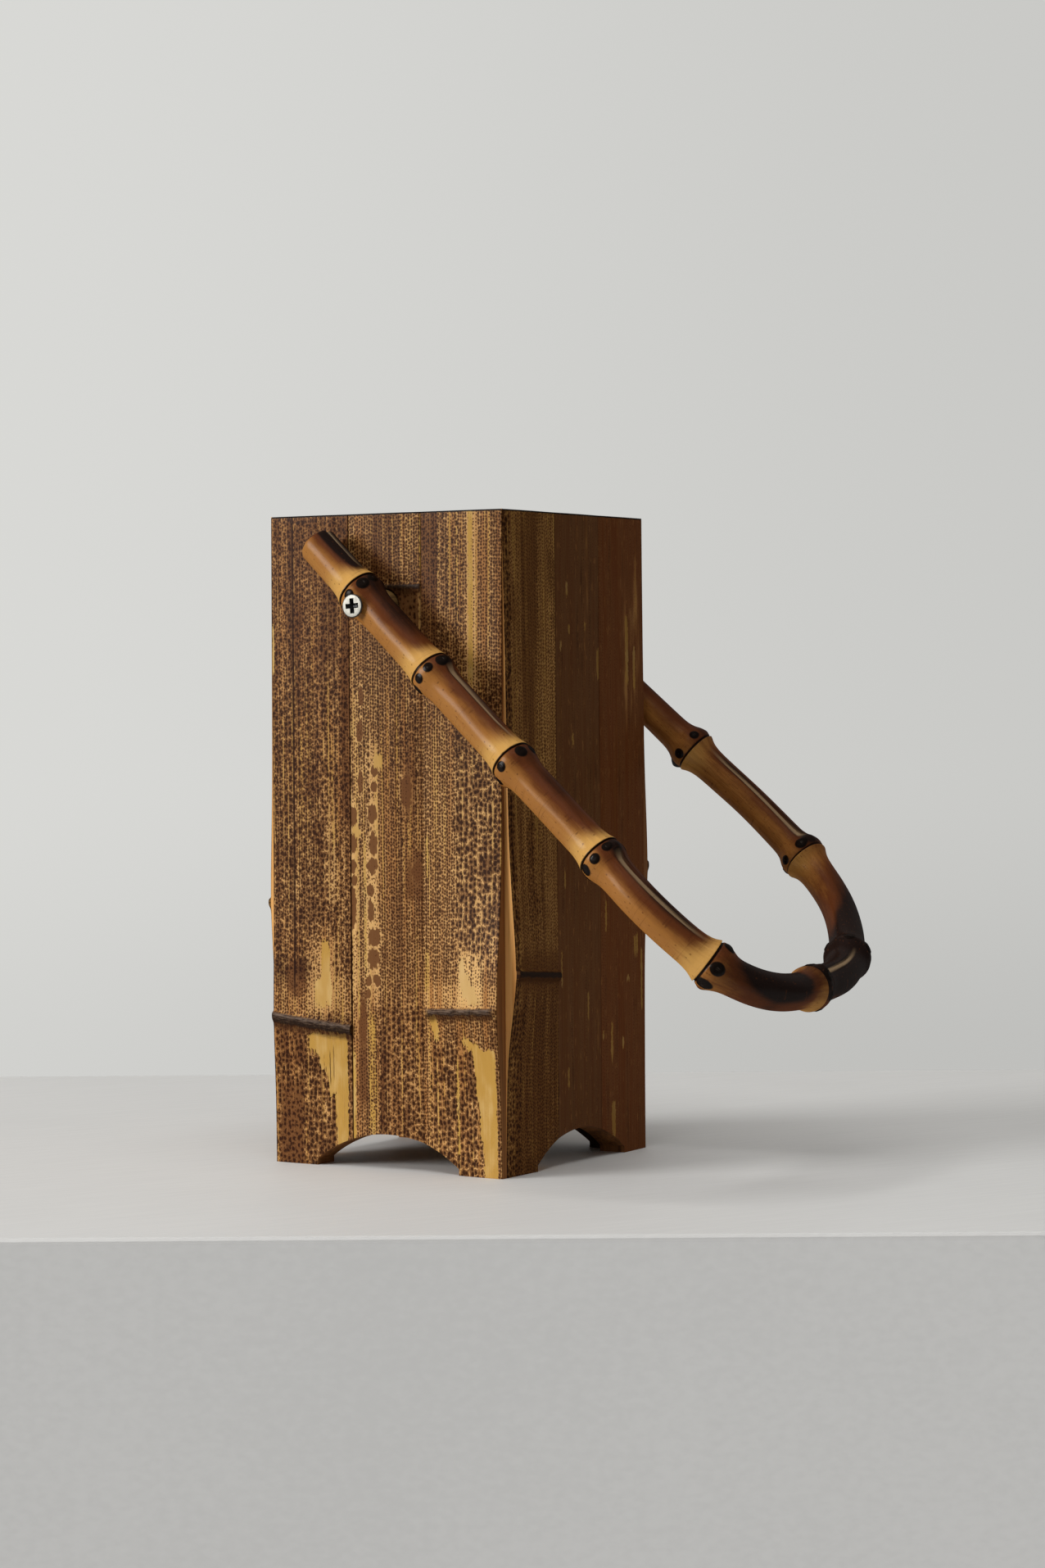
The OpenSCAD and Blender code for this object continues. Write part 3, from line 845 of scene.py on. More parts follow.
# The look of each rind. Zones are (x0, x1, z0, z1, change, soft_x, soft_z) in millimetres on the face,
# and ovals are (x, z, width, height).
LOOKS = {
    "front_left": {
        "seed": 3.0, "stain": 0.36, "fine": 0.84, "heavy": 1.08, "bar": 1.0, "seam": 0.9,
        "cracks": [
            (-39.0, -38.2, 60, 240, 0.85, 0.5, 12), (-38, -32, 66, 73, 0.55, 4, 5),
            (-47.5, -41, 64, 72, 0.5, 5, 6), (-33, -15, 49, 53, 0.35, 3, 3),
            (-24.2, -23.9, 29, 40, 0.8, 0.3, 3), (-22.7, -22.4, 31, 42, 0.6, 0.3, 3),
            (-31.4, -31.1, 118, 150, 0.4, 0.3, 10),
        ],
        "stains": [
            (-50, -14, 172, 240, 0.16, 1, 26), (-46, -36, -4, 30, 0.45, 4, 10),
            (-50, -35, 34, 50, 0.25, 4, 6), (-42, -34, 60, 71, 0.5, 3, 5),
            (-18.5, -14, 120, 230, 0.3, 1, 20),
        ],
        "heavy_zones": [
            (-50, -14, 52, 66, -0.5, 1, 6), (-50, -14, -6, 46, 0.1, 1, 4), (-32, -21, 54, 80, -0.5, 4, 8),
            (-25, -21, 92, 128, -0.4, 2, 10), (-50, -14, 176, 240, -0.12, 1, 20),
        ],
        "fine_zones": [
            (-34, -20, 54, 78, -0.35, 5, 8), (-25, -21, 92, 128, -0.3, 2, 10),
            (-50, -14, -6, 47, -0.3, 1, 4),
        ],
        "pale": [(-50, -16, 84, 116, 0.25, 2, 16), (-33, -22, 52, 72, 0.25, 3, 6)],
        "bare": [
            (-30, -23, 56, 66, 0.9, 2.5, 7), (-27.4, -23.8, 62, 80, 0.8, 1.4, 10),
            (-33, -17, 40, 47, 0.9, 2.5, 4), (-29, -17, 33, 43, 0.7, 2.5, 6),
            (-25, -17, 24, 37, 0.8, 2.5, 8), (-21.8, -16.9, 6, 32, 1.0, 1.2, 10),
            (-24.0, -22.4, 92, 110, 0.4, 1.0, 12), (-22.6, -21.2, 106, 128, 0.4, 1.0, 12),
            (-48.5, -46.8, 172, 192, 0.7, 0.6, 8),
        ],
    },
    "front_middle": {
        "seed": 11.0, "stain": 0.22, "fine": 1.0, "heavy": 0.5, "bar": 0.9, "bar_depth": 1.3, "seam": 0.4,
        "grey_strands_and_highlight": 0.1,
        "ovals": [
            (-5.7, 124, 4.0, 7), (-5.3, 113.4, 3.7, 9), (-5.9, 106, 4.9, 6), (-6.7, 97.3, 3.2, 4.6),
            (-6.6, 90.4, 2.9, 8.6), (-5.3, 81, 5.4, 6.8), (-5.6, 73.5, 5.2, 7.4), (-7.6, 65.6, 3.0, 3.8),
            (-4.3, 66, 3.2, 4.2), (-8.0, 61.2, 2.4, 3), (-13.8, 123, 4, 8), (-13.9, 113.8, 4, 7.4),
            (-14.7, 105.6, 4.4, 5.4), (-13.7, 100.7, 2.9, 4), (-14.4, 91.5, 3.2, 15), (-10.4, 51, 4.2, 15),
            (-10.2, 165, 2.6, 7), (-10.8, 153, 3.0, 8), (-10.6, 135, 2.6, 9), (-4.5, 139, 3.2, 4.4),
            (-4.9, 133.6, 3, 3.6), (12.8, 104.2, 4.6, 7.4), (8.4, 132, 5, 12),
        ],
        "stains": [
            (-3, 15, -4, 110, 0.16, 3, 30), (-12, 3, -4, 60, 0.08, 3, 10), (0, 14, 183, 201, 0.8, 3, 3),
            (-10, 3, 205, 232, 0.25, 3, 6), (6.5, 12, 120, 150, 0.5, 3, 12), (8, 17, 94, 112, 0.45, 4, 8),
            (-12.5, -9, 22, 62, 0.5, 1, 8),
        ],
        "fine_zones": [
            (-4, 16, -6, 60, -0.3, 3, 10), (3, 18, 183, 201, -0.8, 2, 3),
            (-8.6, -3.2, 58, 150, -0.6, 1, 10), (-16, -12.6, 60, 130, -0.5, 1, 10),
        ],
        "heavy_zones": [
            (-4, 16, -6, 60, 0.6, 3, 10), (4, 15, 112, 200, 0.35, 4, 20), (-16, 4, 112, 178, 0.15, 3, 20),
        ],
        "pale": [(-16, -2, 60, 178, 0.3, 4, 20)],
        "bare": [
            (-12.4, -11.6, 50, 130, 0.6, 0.5, 14), (-9.6, -8.4, 66, 118, 0.6, 0.6, 14),
            (-16.4, -13.6, 4, 42, 0.75, 0.7, 16), (-8.4, -4.6, 8, 58, 0.5, 0.8, 14),
            (-5, -1.2, 140, 145, 0.8, 1, 3), (14.6, 16.6, 205, 232, 0.8, 0.6, 8),
            (-14.4, -10.6, 116, 119.5, 0.8, 1, 2), (-15.8, -12.6, 148, 160, 0.45, 1, 8),
        ],
    },
    "front_right": {
        "seed": 29.0, "stain": 0.2, "fine": 0.98, "heavy": 0.5, "bar": 1.0, "bar_depth": 2.1, "seam": 0.1,
        "edge": "dark", "bar_taper": 3.5, "fray": 2.5,
        "stains": [(14, 22, 182, 232, 0.45, 2, 16), (14, 33, 150, 182, 0.15, 4, 16)],
        "fine_zones": [
            (14, 50, 57, 66, -0.35, 2, 5), (18, 40, -6, 46, -0.45, 3, 6), (29, 48, 72, 140, -0.5, 4, 10),
            (31.5, 41, 58, 76, -0.26, 5, 8), (33.6, 37.9, 166, 240, -0.55, 1, 12),
        ],
        "pale": [
            (29, 47, 76, 150, 0.4, 4, 14), (14, 29, 70, 150, 0.2, 4, 14), (30.5, 42, 57, 75, 0.8, 3, 6),
        ],
        "heavy_zones": [
            (29, 50, 74, 168, 0.64, 5, 14), (14, 33, 160, 232, 0.36, 3, 20), (14, 50, 57, 66, -0.5, 2, 6),
            (31, 41, 58, 78, -0.35, 5, 8), (33.6, 37.9, 166, 240, -0.6, 1, 12),
            (18, 40, -4, 46, 0.72, 4, 8),
        ],
        "bare": [
            (34.4, 36.8, 166, 240, 0.56, 1.2, 14), (31.4, 33.8, 66, 76, 0.6, 1.6, 5),
            (32.2, 36.4, 63, 71, 0.6, 2.4, 5), (33.4, 39, 60.5, 66.5, 0.6, 2.6, 4),
            (36, 41.6, 58.5, 62.5, 0.5, 3, 3), (15.6, 18.2, 60, 80, 0.5, 1, 10),
            (18.4, 21.4, 49, 55, 0.62, 1.6, 3), (19.8, 22.6, 45.5, 51, 0.6, 1.4, 3),
            (14, 47, 51, 56, 0.3, 2, 3), (32.6, 36.6, 45.2, 48.2, 0.62, 2, 2.4),
            (34.6, 40, 42.6, 46.4, 0.7, 2.4, 3), (37.4, 46.4, 37, 43.6, 1.0, 1.6, 4),
            (38, 46.4, 26, 42, 1.0, 1.2, 8), (39.4, 46.4, 12, 32, 1.0, 1.2, 8),
            (40.8, 46.4, -6, 18, 1.0, 1.2, 8), (29.4, 30.8, 4, 42, 0.6, 0.6, 12),
            (16.2, 17.6, 100, 118, 0.6, 0.8, 8),
        ],
    },
    "right_front": {
        "seed": 41.0, "stain": 0.46, "fine": 0.74, "heavy": 0.15, "bar": 1.0, "bar_depth": 1.9,
        "brown": tint(108, 68, 33), "grey_strands_and_highlight": 0.0, "edge": "pale", "ground": tint(192, 142, 82),
        "deep": tint(142, 100, 52), "streak": 0.35, "seam": 0.5,
        "stains": [
            (-37, -27, 150, 232, 0.2, 4, 30), (-28, -14, 120, 196, -0.25, 4, 30),
            (-44, -14, 62, 76, 0.3, 3, 6), (-44, -14, -6, 60, 0.16, 3, 8),
        ],
        "fine_zones": [(-44, -14, -6, 62, 0.25, 3, 8)],
        "heavy_zones": [
            (-50, -44.2, 60, 232, 1.0, 1.2, 8), (-50, -39.5, -4, 60, 0.95, 1.6, 10),
            (-38, -26, 76, 130, 0.5, 5, 20),
        ],
        "bare": [(-24, -18, 72, 84, 0.35, 2, 6)],
    },
    "right_middle": {
        "seed": 53.0, "stain": 1.0, "fine": 0.2, "heavy": -0.2, "bar": 0.0, "brown": tint(92, 53, 30),
        "streak": 0.8, "gold": 0.42, "flecks": 0.4, "seam": 0.35,
        "stains": [(0, 11, 150, 232, -0.25, 5, 40), (8, 16, 30, 110, -0.2, 4, 30)],
        "bare": [
            (14.4, 17.2, 171, 181, 0.85, 0.8, 4), (-7, -5.4, 199, 204, 0.6, 0.6, 2),
            (-15.6, -14.2, 206, 216, 0.5, 0.6, 4), (-9.2, -8.2, 96, 104, 0.6, 0.6, 4),
            (6, 7.4, 50, 60, 0.6, 0.6, 5), (-7.6, -6.4, 27, 35, 0.6, 0.6, 4),
            (-5.4, -4.2, 187, 190, 0.6, 0.6, 2), (-3.6, -2.2, 147, 152, 0.6, 0.6, 2),
            (-11, -9.6, 180, 184, 0.6, 0.6, 2), (-11.4, -10.4, 62, 76, 0.5, 0.6, 4),
            (5.4, 6.8, 187, 191, 0.5, 0.6, 2),
        ],
    },
    "right_back": {
        "seed": 67.0, "stain": 0.95, "fine": 0.2, "heavy": -0.2, "bar": 0.0, "brown": tint(101, 51, 25),
        "streak": 0.6, "gold": 0.5, "flecks": 0.35, "seam": 0.2,
        "stains": [(30, 46, 150, 218, -0.3, 6, 30)],
        "bare": [
            (34.2, 36.4, 168, 194, 0.7, 0.8, 10), (39.6, 41.6, 166, 182, 0.7, 0.8, 6),
            (22.8, 24.2, 33, 49, 0.55, 0.9, 6), (23, 25.6, 6, 20, 0.7, 1.2, 6),
            (19.4, 20.6, 80, 92, 0.6, 0.6, 5), (30.4, 31.8, 37, 42, 0.6, 0.6, 3),
            (34, 36, 61, 64, 0.6, 0.6, 2), (44.6, 46, 50, 74, 0.6, 0.8, 8), (17, 18.4, 42, 46, 0.5, 0.8, 2),
            (39, 43, 70, 79, 0.5, 1.2, 4), (20, 30, 36, 41, 0.25, 4, 2),
        ],
    },
    "back_right": {
        "seed": 71.0, "stain": 0.45, "fine": 0.6, "heavy": 0.75, "bar": 1.0,
        "bare": [*bared(-38, 104, 0.6, 1.0, 1, 1.35, 0.6), (-22.4, -21, 20, 96, 0.7, 0.6, 20)],
    },
    "back_middle": {
        "seed": 83.0, "stain": 0.4, "fine": 0.75, "heavy": 0.5, "bar": 1.0,
        "bare": [
            *bared(-7, 62, 1.0, 0.8, -1, 0.8, 0.4), (5, 6.6, 90, 190, 0.7, 0.6, 30),
            (9.5, 10.3, 60, 160, 0.7, 0.5, 20),
        ],
    },
    "back_left": {
        "seed": 97.0, "stain": 0.35, "fine": 0.7, "heavy": 0.85, "bar": 1.0,
        "bare": [*bared(29, 140, 0.7, 0.95, 2, 1.0, 1.5), (18, 19.6, 160, 232, 0.7, 0.8, 20)],
    },
    "left_back": {
        "seed": 103.0, "stain": 0.5, "fine": 0.6, "heavy": 0.8, "bar": 1.0,
        "bare": [*bared(-35, 66, 1.0, 0.7, -1, 1.2, 0.35), (-22, -20.6, 90, 200, 0.7, 0.6, 30)],
    },
    "left_middle": {
        "seed": 113.0, "stain": 0.4, "fine": 0.75, "heavy": 0.55, "bar": 1.0,
        "bare": [
            *bared(-4, 158, 0.5, 0.9, 1, 1.5, 0.3), (8, 9, 30, 150, 0.7, 0.5, 30),
            (-11, -10.2, 60, 140, 0.7, 0.5, 20),
        ],
    },
    "left_front": {
        "seed": 127.0, "stain": 0.35, "fine": 0.65, "heavy": 0.9, "bar": 1.0, "edge": "pale",
        "bare": [*bared(31, 92, 1.0, 0.9, 2, 0.9, 0.8), (20, 21.2, 110, 210, 0.6, 0.6, 30)],
    },
}


def slat_joints(size, face, place):
    """Left and right edges of a slat on its face."""
    half = size.side / 2
    shift = {"right": size.side_shift, "left": -size.side_shift}.get(face, 0.0)
    joint_left, joint_right = -size.middle_width / 2 + shift, size.middle_width / 2 + shift
    left = {-1: -half, 0: joint_left, 1: joint_right}[place]
    right = {-1: joint_left, 0: joint_right, 1: half}[place]
    return left, right, shift


def slat_columns(left, right, springs):
    """Places across a slat, close together at its edges and at the upright ends of the arch."""
    near = [0, 0.03, 0.08, 0.16, 0.3, 0.7, 1.5]
    middle = np.linspace(left + 2.4, right - 2.4, max(3, int((right - left - 4.8) / 1.5) + 1))
    places = [left + d for d in near] + list(middle) + [right - d for d in reversed(near)]
    for spring in springs:
        if left + 0.5 < spring < right - 0.5:
            places = [p for p in places if abs(p - spring) > 0.3] + [spring - 0.02, spring + 0.02]
    return np.array(sorted(places))


def slat_rows(size, node):
    """Heights over a slat's node, close together at the node and at both ends."""
    fine = np.arange(-5.4, 1.5, 0.3)
    above = np.concatenate([np.arange(1.8, 8, 0.9), np.arange(9, size.height - node - 1.0, 3.0)])
    below = np.concatenate([np.arange(6, 12, 1.5), np.arange(13, node - 1.5, 3.0)])
    top = size.height - node
    ends = [top, top - 0.12, top - 0.3, top - 0.6]
    rows = [r for r in np.concatenate([fine, above, -below]) if -node + 0.8 < r < top - 0.8]
    return np.array(sorted(set([-node, -node + 0.3, *rows, *ends])))


def bar_outline(size, over):
    """Outline of the bar of a node as a share of its own thickness."""
    return np.interp(
        over / size.bar_height,
        [-1.5, -1.2, -0.9, -0.7, -0.55, -0.42, -0.3, -0.15, 0.0, 0.1, 0.18, 0.25, 0.32],
        [0.0, 0.04, 0.14, 0.42, 0.72, 0.9, 0.98, 1.0, 0.95, 0.84, 0.66, 0.32, 0.0],
    )


def arch_sole(size, across):
    """Height of a slat's lower end, which is the arch where it runs through the slat."""
    rise = size.arch_height - size.arch_spring
    radius = ((size.arch_width / 2) ** 2 + rise**2) / (2 * rise)
    arch = size.arch_height - radius + np.sqrt(np.maximum(radius**2 - across**2, 0.0))
    return np.where(np.abs(across) < size.arch_width / 2, arch, 0.0)


def slat_faces(count, width):
    """Faces of a slat, their kinds and whether they are smooth, from the numbers of its rows and columns.
    Behind the rind its flat back has three rows."""
    back_start = count * width
    top = count - 1
    faces, kinds, smooth = [], [], []

    def rind(row, col):
        return row * width + col

    def back(row, col):
        return back_start + row * width + col

    def add(corners, kind, soft=False):
        faces.append(corners)
        kinds.append(kind)
        smooth.append(soft)

    for i in range(count - 1):
        for j in range(width - 1):
            add((rind(i, j), rind(i, j + 1), rind(i + 1, j + 1), rind(i + 1, j)), 0, True)
    for i in range(2):
        for j in range(width - 1):
            add((back(i, j), back(i + 1, j), back(i + 1, j + 1), back(i, j + 1)), 2)
    for j in range(width - 1):
        add((rind(0, j), back(0, j), back(0, j + 1), rind(0, j + 1)), 1)
        add((rind(top, j), rind(top, j + 1), back(2, j + 1), back(2, j)), 3)
    for j, flip in ((0, False), (width - 1, True)):
        ring = [rind(i, j) for i in range(count)] + [back(i, j) for i in (2, 1, 0)]
        add(tuple(reversed(ring)) if flip else tuple(ring), 1)
    return faces, kinds, smooth


def slat_mesh(size, name):
    """Points, faces, kinds, smoothness and values of one slat."""
    face, place, node, corner, joint, bar, slope, foot, even = SLATS[name]
    left, right, shift = slat_joints(size, face, place)
    seed = LOOKS[name]["seed"]
    x = slat_columns(left, right, (shift - size.arch_width / 2, shift + size.arch_width / 2))
    rows = slat_rows(size, node)
    over, across = np.meshgrid(rows, x, indexing="ij")

    # Heights: the node line slopes, and the foot follows the arch
    sole = arch_sole(size, x - shift)[None, :]
    share = np.where(over > 0, 1 - over / (size.height - node), 1 + over / node)
    slant = slope * (across - (left + right) / 2) * share
    z = node + over + slant
    z = np.where(z < FOOT, sole + z / FOOT * (FOOT - sole), z)
    over = z - node - slant

    # Thickness: the swelling over and under the node, its bar, the crown of the rind and the edges
    t = (x - left) / (right - left)
    swell = corner + (joint - corner) * (t if place < 0 else 1 - t) if place else np.full(len(t), joint)
    above = even * (1 - over / (size.height - node)) + (1 - even) * soft_peak(over, 0.0, size.swell_above)
    beneath = 0.2 * (1 + over / node) + 0.8 * soft_peak(over, 0.0, size.swell_below)
    beneath = beneath + (1 - beneath) * foot
    wave = np.sin(across * 1.7 + seed) * 0.5 + np.sin(across * 3.9 + seed * 2) * 0.3
    wave = wave + np.sin(across * 7.3) * 0.2
    uneven = over + wave * 0.28 * np.clip((over + 5) / 3, 0, 1)
    bulge = bar * bar_outline(size, uneven) * (1 - 0.16 * np.abs(wave))
    taper = LOOKS[name].get("bar_taper", 0.1)
    bulge = bulge * np.clip(np.minimum(across - left, right - across) / taper, 0.05, 1) ** 0.6
    ripple = 0.05 * np.sin(across * 0.9 + seed) * np.sin(z * 0.045 + seed * 1.3) - 0.05
    out = size.side / 2 + size.rind + size.crown * 4 * t * (1 - t) + np.where(over > 0, above, beneath) * swell
    out = out + bulge + ripple
    out = out - rounded(x - left, size.edge_round)[None, :] - rounded(right - x, size.edge_round)[None, :]
    out = out - rounded(size.height - z, TOP_ROUND)

    count, width = len(rows), len(x)
    back = np.maximum(np.abs(x), size.side / 2 - size.wall)
    back_rows = [0, int(np.argmax(z.min(axis=1) >= FOOT)), count - 1]
    points = [np.stack([across, -out, z], -1).reshape(-1, 3)]
    points = np.concatenate(points + [np.stack([x, -back, z[row]], -1) for row in back_rows])
    heights = np.concatenate([over.ravel(), np.full(3 * width, 50.0)])
    values = np.stack([points[:, 0], points[:, 2], heights], -1)
    turn = math.pi / 2 * FACES[face]
    c, s = math.cos(turn), math.sin(turn)
    points = points @ np.array([[c, s, 0], [-s, c, 0], [0, 0, 1]])
    return points, *slat_faces(count, width), {"place": values}


class BAMBOOVASE_OT_slats(Operator):
    """Makes the twelve slats of the body, with their nodes, their arches and their spotted rind"""

    bl_idname = "bamboovase.slats"
    bl_label = "Slats"

    def execute(self, context):
        settings = context.scene.bamboo_vase
        size, colours = Millimetres(settings.body), settings.bamboo
        common = {**COMMON_LOOK, "ground": colours.ground, "deep": colours.deep, "brown": colours.brown}
        # The cut wood in three copies: the pale copy is painted light, for the front-facing cut edges of
        # right_front and left_front that the window light falls on, and the dark copy is painted shade, for the
        # edge of front_right that faces away from it
        edges = {
            "plain": cut_wood("slat_edge", tint(140, 92, 50), tint(84, 50, 26)),
            "pale": cut_wood("pale_slat_edge", tint(240, 180, 108), tint(196, 134, 70)),
            "dark": cut_wood("dark_slat_edge", tint(150, 98, 52), tint(100, 60, 30)),
        }
        inside = cut_wood("slat_back", colours.inside, tint(46, 30, 20))
        for name, (face, place, *rest) in SLATS.items():
            left, right, shift = slat_joints(size, face, place)
            look = {**common, **LOOKS[name], "joints": (left, right), "top": size.height}
            rind = sesame_rind(name + "_rind", colours, look)
            worn = 0.03 + 0.05 * (look["seed"] % 3)
            ends = lacquered_end(name + "_end", colours.lacquer, colours.wood, left, right, worn)
            materials = [rind, edges[look["edge"]], inside, ends]
            points, faces, kinds, smooth, values = slat_mesh(size, name)
            piece = new_piece(
                name + "_bamboo", points, faces, materials, "vase", [name + "_slat"],
                kinds, smooth, values,
            )
            if name in ("front_middle", "back_middle"):
                self.bore(piece, settings, -1 if face == "front" else 1)
        return {"FINISHED"}

    @staticmethod
    def bore(piece, settings, outwards):
        """The hole that a pivot screw goes through, and the seat of its spacer."""
        body, handle, fit = all_sizes(settings)
        radius = fit.shank_d / 2 + SLAT_CLEARANCE
        plain = body.side / 2
        hole = turned([(0, 0), (radius, 0), (radius, body.side), (0, body.side)], 32)
        seat = turned([(0, plain), (SEAT_RADIUS, plain), (SEAT_RADIUS, plain + 10), (0, plain + 10)], 48)
        tools = []
        for points, faces in (hole, seat):
            tool = new_object("bore", points, faces)
            tool.matrix_world = pivot_place(settings, outwards)
            tools.append(tool)
        cut_away(piece, tools)


# The handle

# Middle line of the handle in its own plane, from the front end to the back end: share of the tail or
# of the reach, share of half the span, share of a node's largest swelling
HANDLE_ROUTE = [
    (-1, -0.95, 0), (-0.2, -0.992, 0.68), (0.18, -1.05, 0.55), (0.411, -1.107, 0.59),
    (0.65, -1.15, 0.68), (0.785, -1.18, 0), (0.909, -1.087, 0.91), (0.97, -0.914, 0),
    (0.998, -0.654, 0), (1, -0.335, 0.77), (0.982, 0.134, 0), (0.951, 0.402, 0.95),
    (0.887, 0.705, 0), (0.81, 0.948, 0), (0.707, 1.083, 1), (0.554, 1.11, 0),
    (0.411, 1.048, 1), (0.253, 1.006, 0), (0.126, 1, 0.82), (-0.16, 0.997, 0),
    (-1, 0.965, 0),
]

# Turns at which each node has its root scars, in degrees
ROOT_SCARS = [
    (-2, 45, 80, 130, 172, 215, 300),
    (-58, -14, 25, 66, 130, 168, 206, 252),
    (-62, -8, 60, 105, 150, 195, 240),
    (-76, -34, 10, 52, 130, 170, 212, 250),
    (-36, 20, 92, 150, 200, 250),
    (-28, 22, 76, 132, 214, 262),
    (0, 62, 120, 190, 250, 310),
    (138, 201, 252, 304, 352, 30),
    (127, 194, 250, 310, 10, 52),
    (40, 110, 170, 230, 300),
]

# Turn of the bud and the channel of each internode, in degrees
CHANNEL_TURNS = [90, 270, 82, 270, 73, 270, 100, 270, 112, 270, 90]

# How pale the flare before each node is
FLARES = [1, 1, 1, 1, 0.9, 0.8, 0.1, 0.45, 0.55, 0.6]

# How scorched each internode is all round, at its start, in its middle and at its end
SCORCHED = [
    (0.06, 0.06, 0.04), (0.14, 0.18, 0.10), (0.08, 0.10, 0.08), (0.12, 0.16, 0.10), (0.12, 0.16, 0.14),
    (0.30, 1.0, 0.40), (0.95, 1.2, 1.3), (1.5, 0.66, 0.30), (0.34, 0.32, 0.30), (0.32, 0.32, 0.32),
    (0.26, 0.26, 0.26),
]

# How much darker each internode is on its upper side, in the same way
TOASTED = [
    (0.98, 0.98, 0.95), (0.86, 0.96, 0.74), (0.60, 0.68, 0.64), (0.70, 0.80, 0.72), (0.72, 0.82, 0.84),
    (0.15, 0.90, 0.55), (0.60, 0.60, 0.60), (0.30, 0.32, 0.30), (0.46, 0.46, 0.46), (0.44, 0.44, 0.44),
    (0.44, 0.44, 0.44),
]


# The node whose root scars are larger than the others'
LARGE_SCARS = 4
# Rounding of the handle's cut ends, and how far the close rings of a node reach before and after its
# crease, in millimetres
END_ROUND = 0.7
NODE_BEFORE, NODE_AFTER = 4.0, 8.0
HANDLE_SIDES = 64


def gap_to(turn, target):
    """The angle from one turn to another, between -180 and 180 degrees."""
    return (turn - target + 180) % 360 - 180


class Route:
    """The middle line of the handle, by its run in millimetres from the front end."""

    def __init__(self, size, body):
        half_span = body.side / 2 + size.arm_offset
        knots = [(a * (size.tail if a < 0 else size.reach), b * half_span) for a, b, c in HANDLE_ROUTE]
        knots = np.array(knots)
        padded = np.concatenate([knots[:1], knots, knots[-1:]])
        steps = 8
        fine = []
        for i in range(len(knots) - 1):
            a, b, c, d = padded[i : i + 4]
            for t in np.arange(steps) / steps:
                curve = (2 * a - 5 * b + 4 * c - d) * t**2 + (3 * b - a - 3 * c + d) * t**3
                fine.append(0.5 * (2 * b + (c - a) * t + curve))
        self.fine = np.array(fine + [knots[-1]])
        self.runs = np.concatenate([[0], np.cumsum(np.linalg.norm(np.diff(self.fine, axis=0), axis=1))])
        self.length = self.runs[-1]
        self.nodes = np.array([self.runs[steps * i] for i, (a, b, c) in enumerate(HANDLE_ROUTE) if c > 0])
        self.swellings = [c * size.node_swelling for a, b, c in HANDLE_ROUTE if c > 0]

    def plain(self, run):
        return np.stack([np.interp(run, self.runs, self.fine[:, k]) for k in (0, 1)], -1)

    def place(self, run):
        """Where the line is in its plane, smoothed except near its ends."""
        smooth = sum(self.plain(np.clip(run + offset, 0, self.length)) / 3 for offset in (-2.2, 0.0, 2.2))
        share = np.clip(np.minimum(run, self.length - run) / 4.0, 0, 1)[..., None]
        return self.plain(run) * (1 - share) + smooth * share

    def across(self, run):
        """The direction across the line in its plane."""
        ahead = self.place(np.minimum(run + 1.5, self.length)) - self.place(np.maximum(run - 1.5, 0))
        turned_ahead = np.stack([ahead[:, 1], -ahead[:, 0]], -1)
        return turned_ahead / np.linalg.norm(turned_ahead, axis=1, keepdims=True)


def node_outline(d):
    """Swelling of a node at a distance along the growth from its crease, as a share of its largest."""
    flare = 0.97 * np.exp(-((np.abs(d) / 3.0) ** 1.25))
    root_band = np.where(d < 2.6, 1 - 0.30 * ((2.6 - d) / 2.6) ** 2, soft_peak(d, 2.6, 4.3))
    return np.where(d < 0, flare, root_band) - 0.16 * soft_peak(d, 0.3, 0.35)


def handle_runs(route):
    """Where the handle has its rings: close together at its ends and at its nodes."""
    nodes = route.nodes
    runs = [0.0, 0.12, 0.35, END_ROUND]
    starts = [END_ROUND, *(nodes + NODE_AFTER)]
    for a, b in zip(starts, [*(nodes - NODE_BEFORE), route.length - END_ROUND]):
        runs += list(np.linspace(a, b, max(2, int((b - a) / 1.6) + 1)))
    for n in nodes:
        runs += list(np.arange(n - NODE_BEFORE, n - 1.0, 0.5)) + list(np.arange(n - 1.0, n + 1.4, 0.2))
        runs += list(np.arange(n + 1.4, n + NODE_AFTER, 0.4))
    runs += [route.length - 0.35, route.length - 0.12, route.length]
    runs = np.array(sorted(set(np.round(runs, 3))))
    return runs[np.concatenate([[True], np.diff(runs) > 0.08])]


def node_forms(route, s, a):
    """Over the handle's runs and turns: the swelling of its nodes, the distance from the nearest crease
    and from the nearest root scar, and the knuckle over each bud."""
    swelling, near = np.zeros_like(s), np.full_like(s, 99.0)
    scar, knuckle = np.full_like(s, 9.0), np.zeros_like(s)
    for k, (at, most) in enumerate(zip(route.nodes, route.swellings)):
        d = s - at
        swelling = np.maximum(swelling, most * node_outline(d))
        near = np.where(np.abs(d) < np.abs(near), d, near)
        for i, angle in enumerate(ROOT_SCARS[k]):
            along = d - 2.9 - 0.35 * math.sin(i * 2.4 + k)
            wide = 1.0 + 0.14 * math.sin(i * 1.7 + k * 2.1) + (0.2 if k == LARGE_SCARS else 0.0)
            scar = np.minimum(scar, np.hypot(np.radians(gap_to(a, angle)) * 7.6, along) / wide)
        bud = soft_peak(gap_to(a, CHANNEL_TURNS[k + 1]), 0.0, 17.0) * soft_peak(d, 3.6, 2.4)
        knuckle = np.maximum(knuckle, bud)
    return swelling, near, scar, knuckle


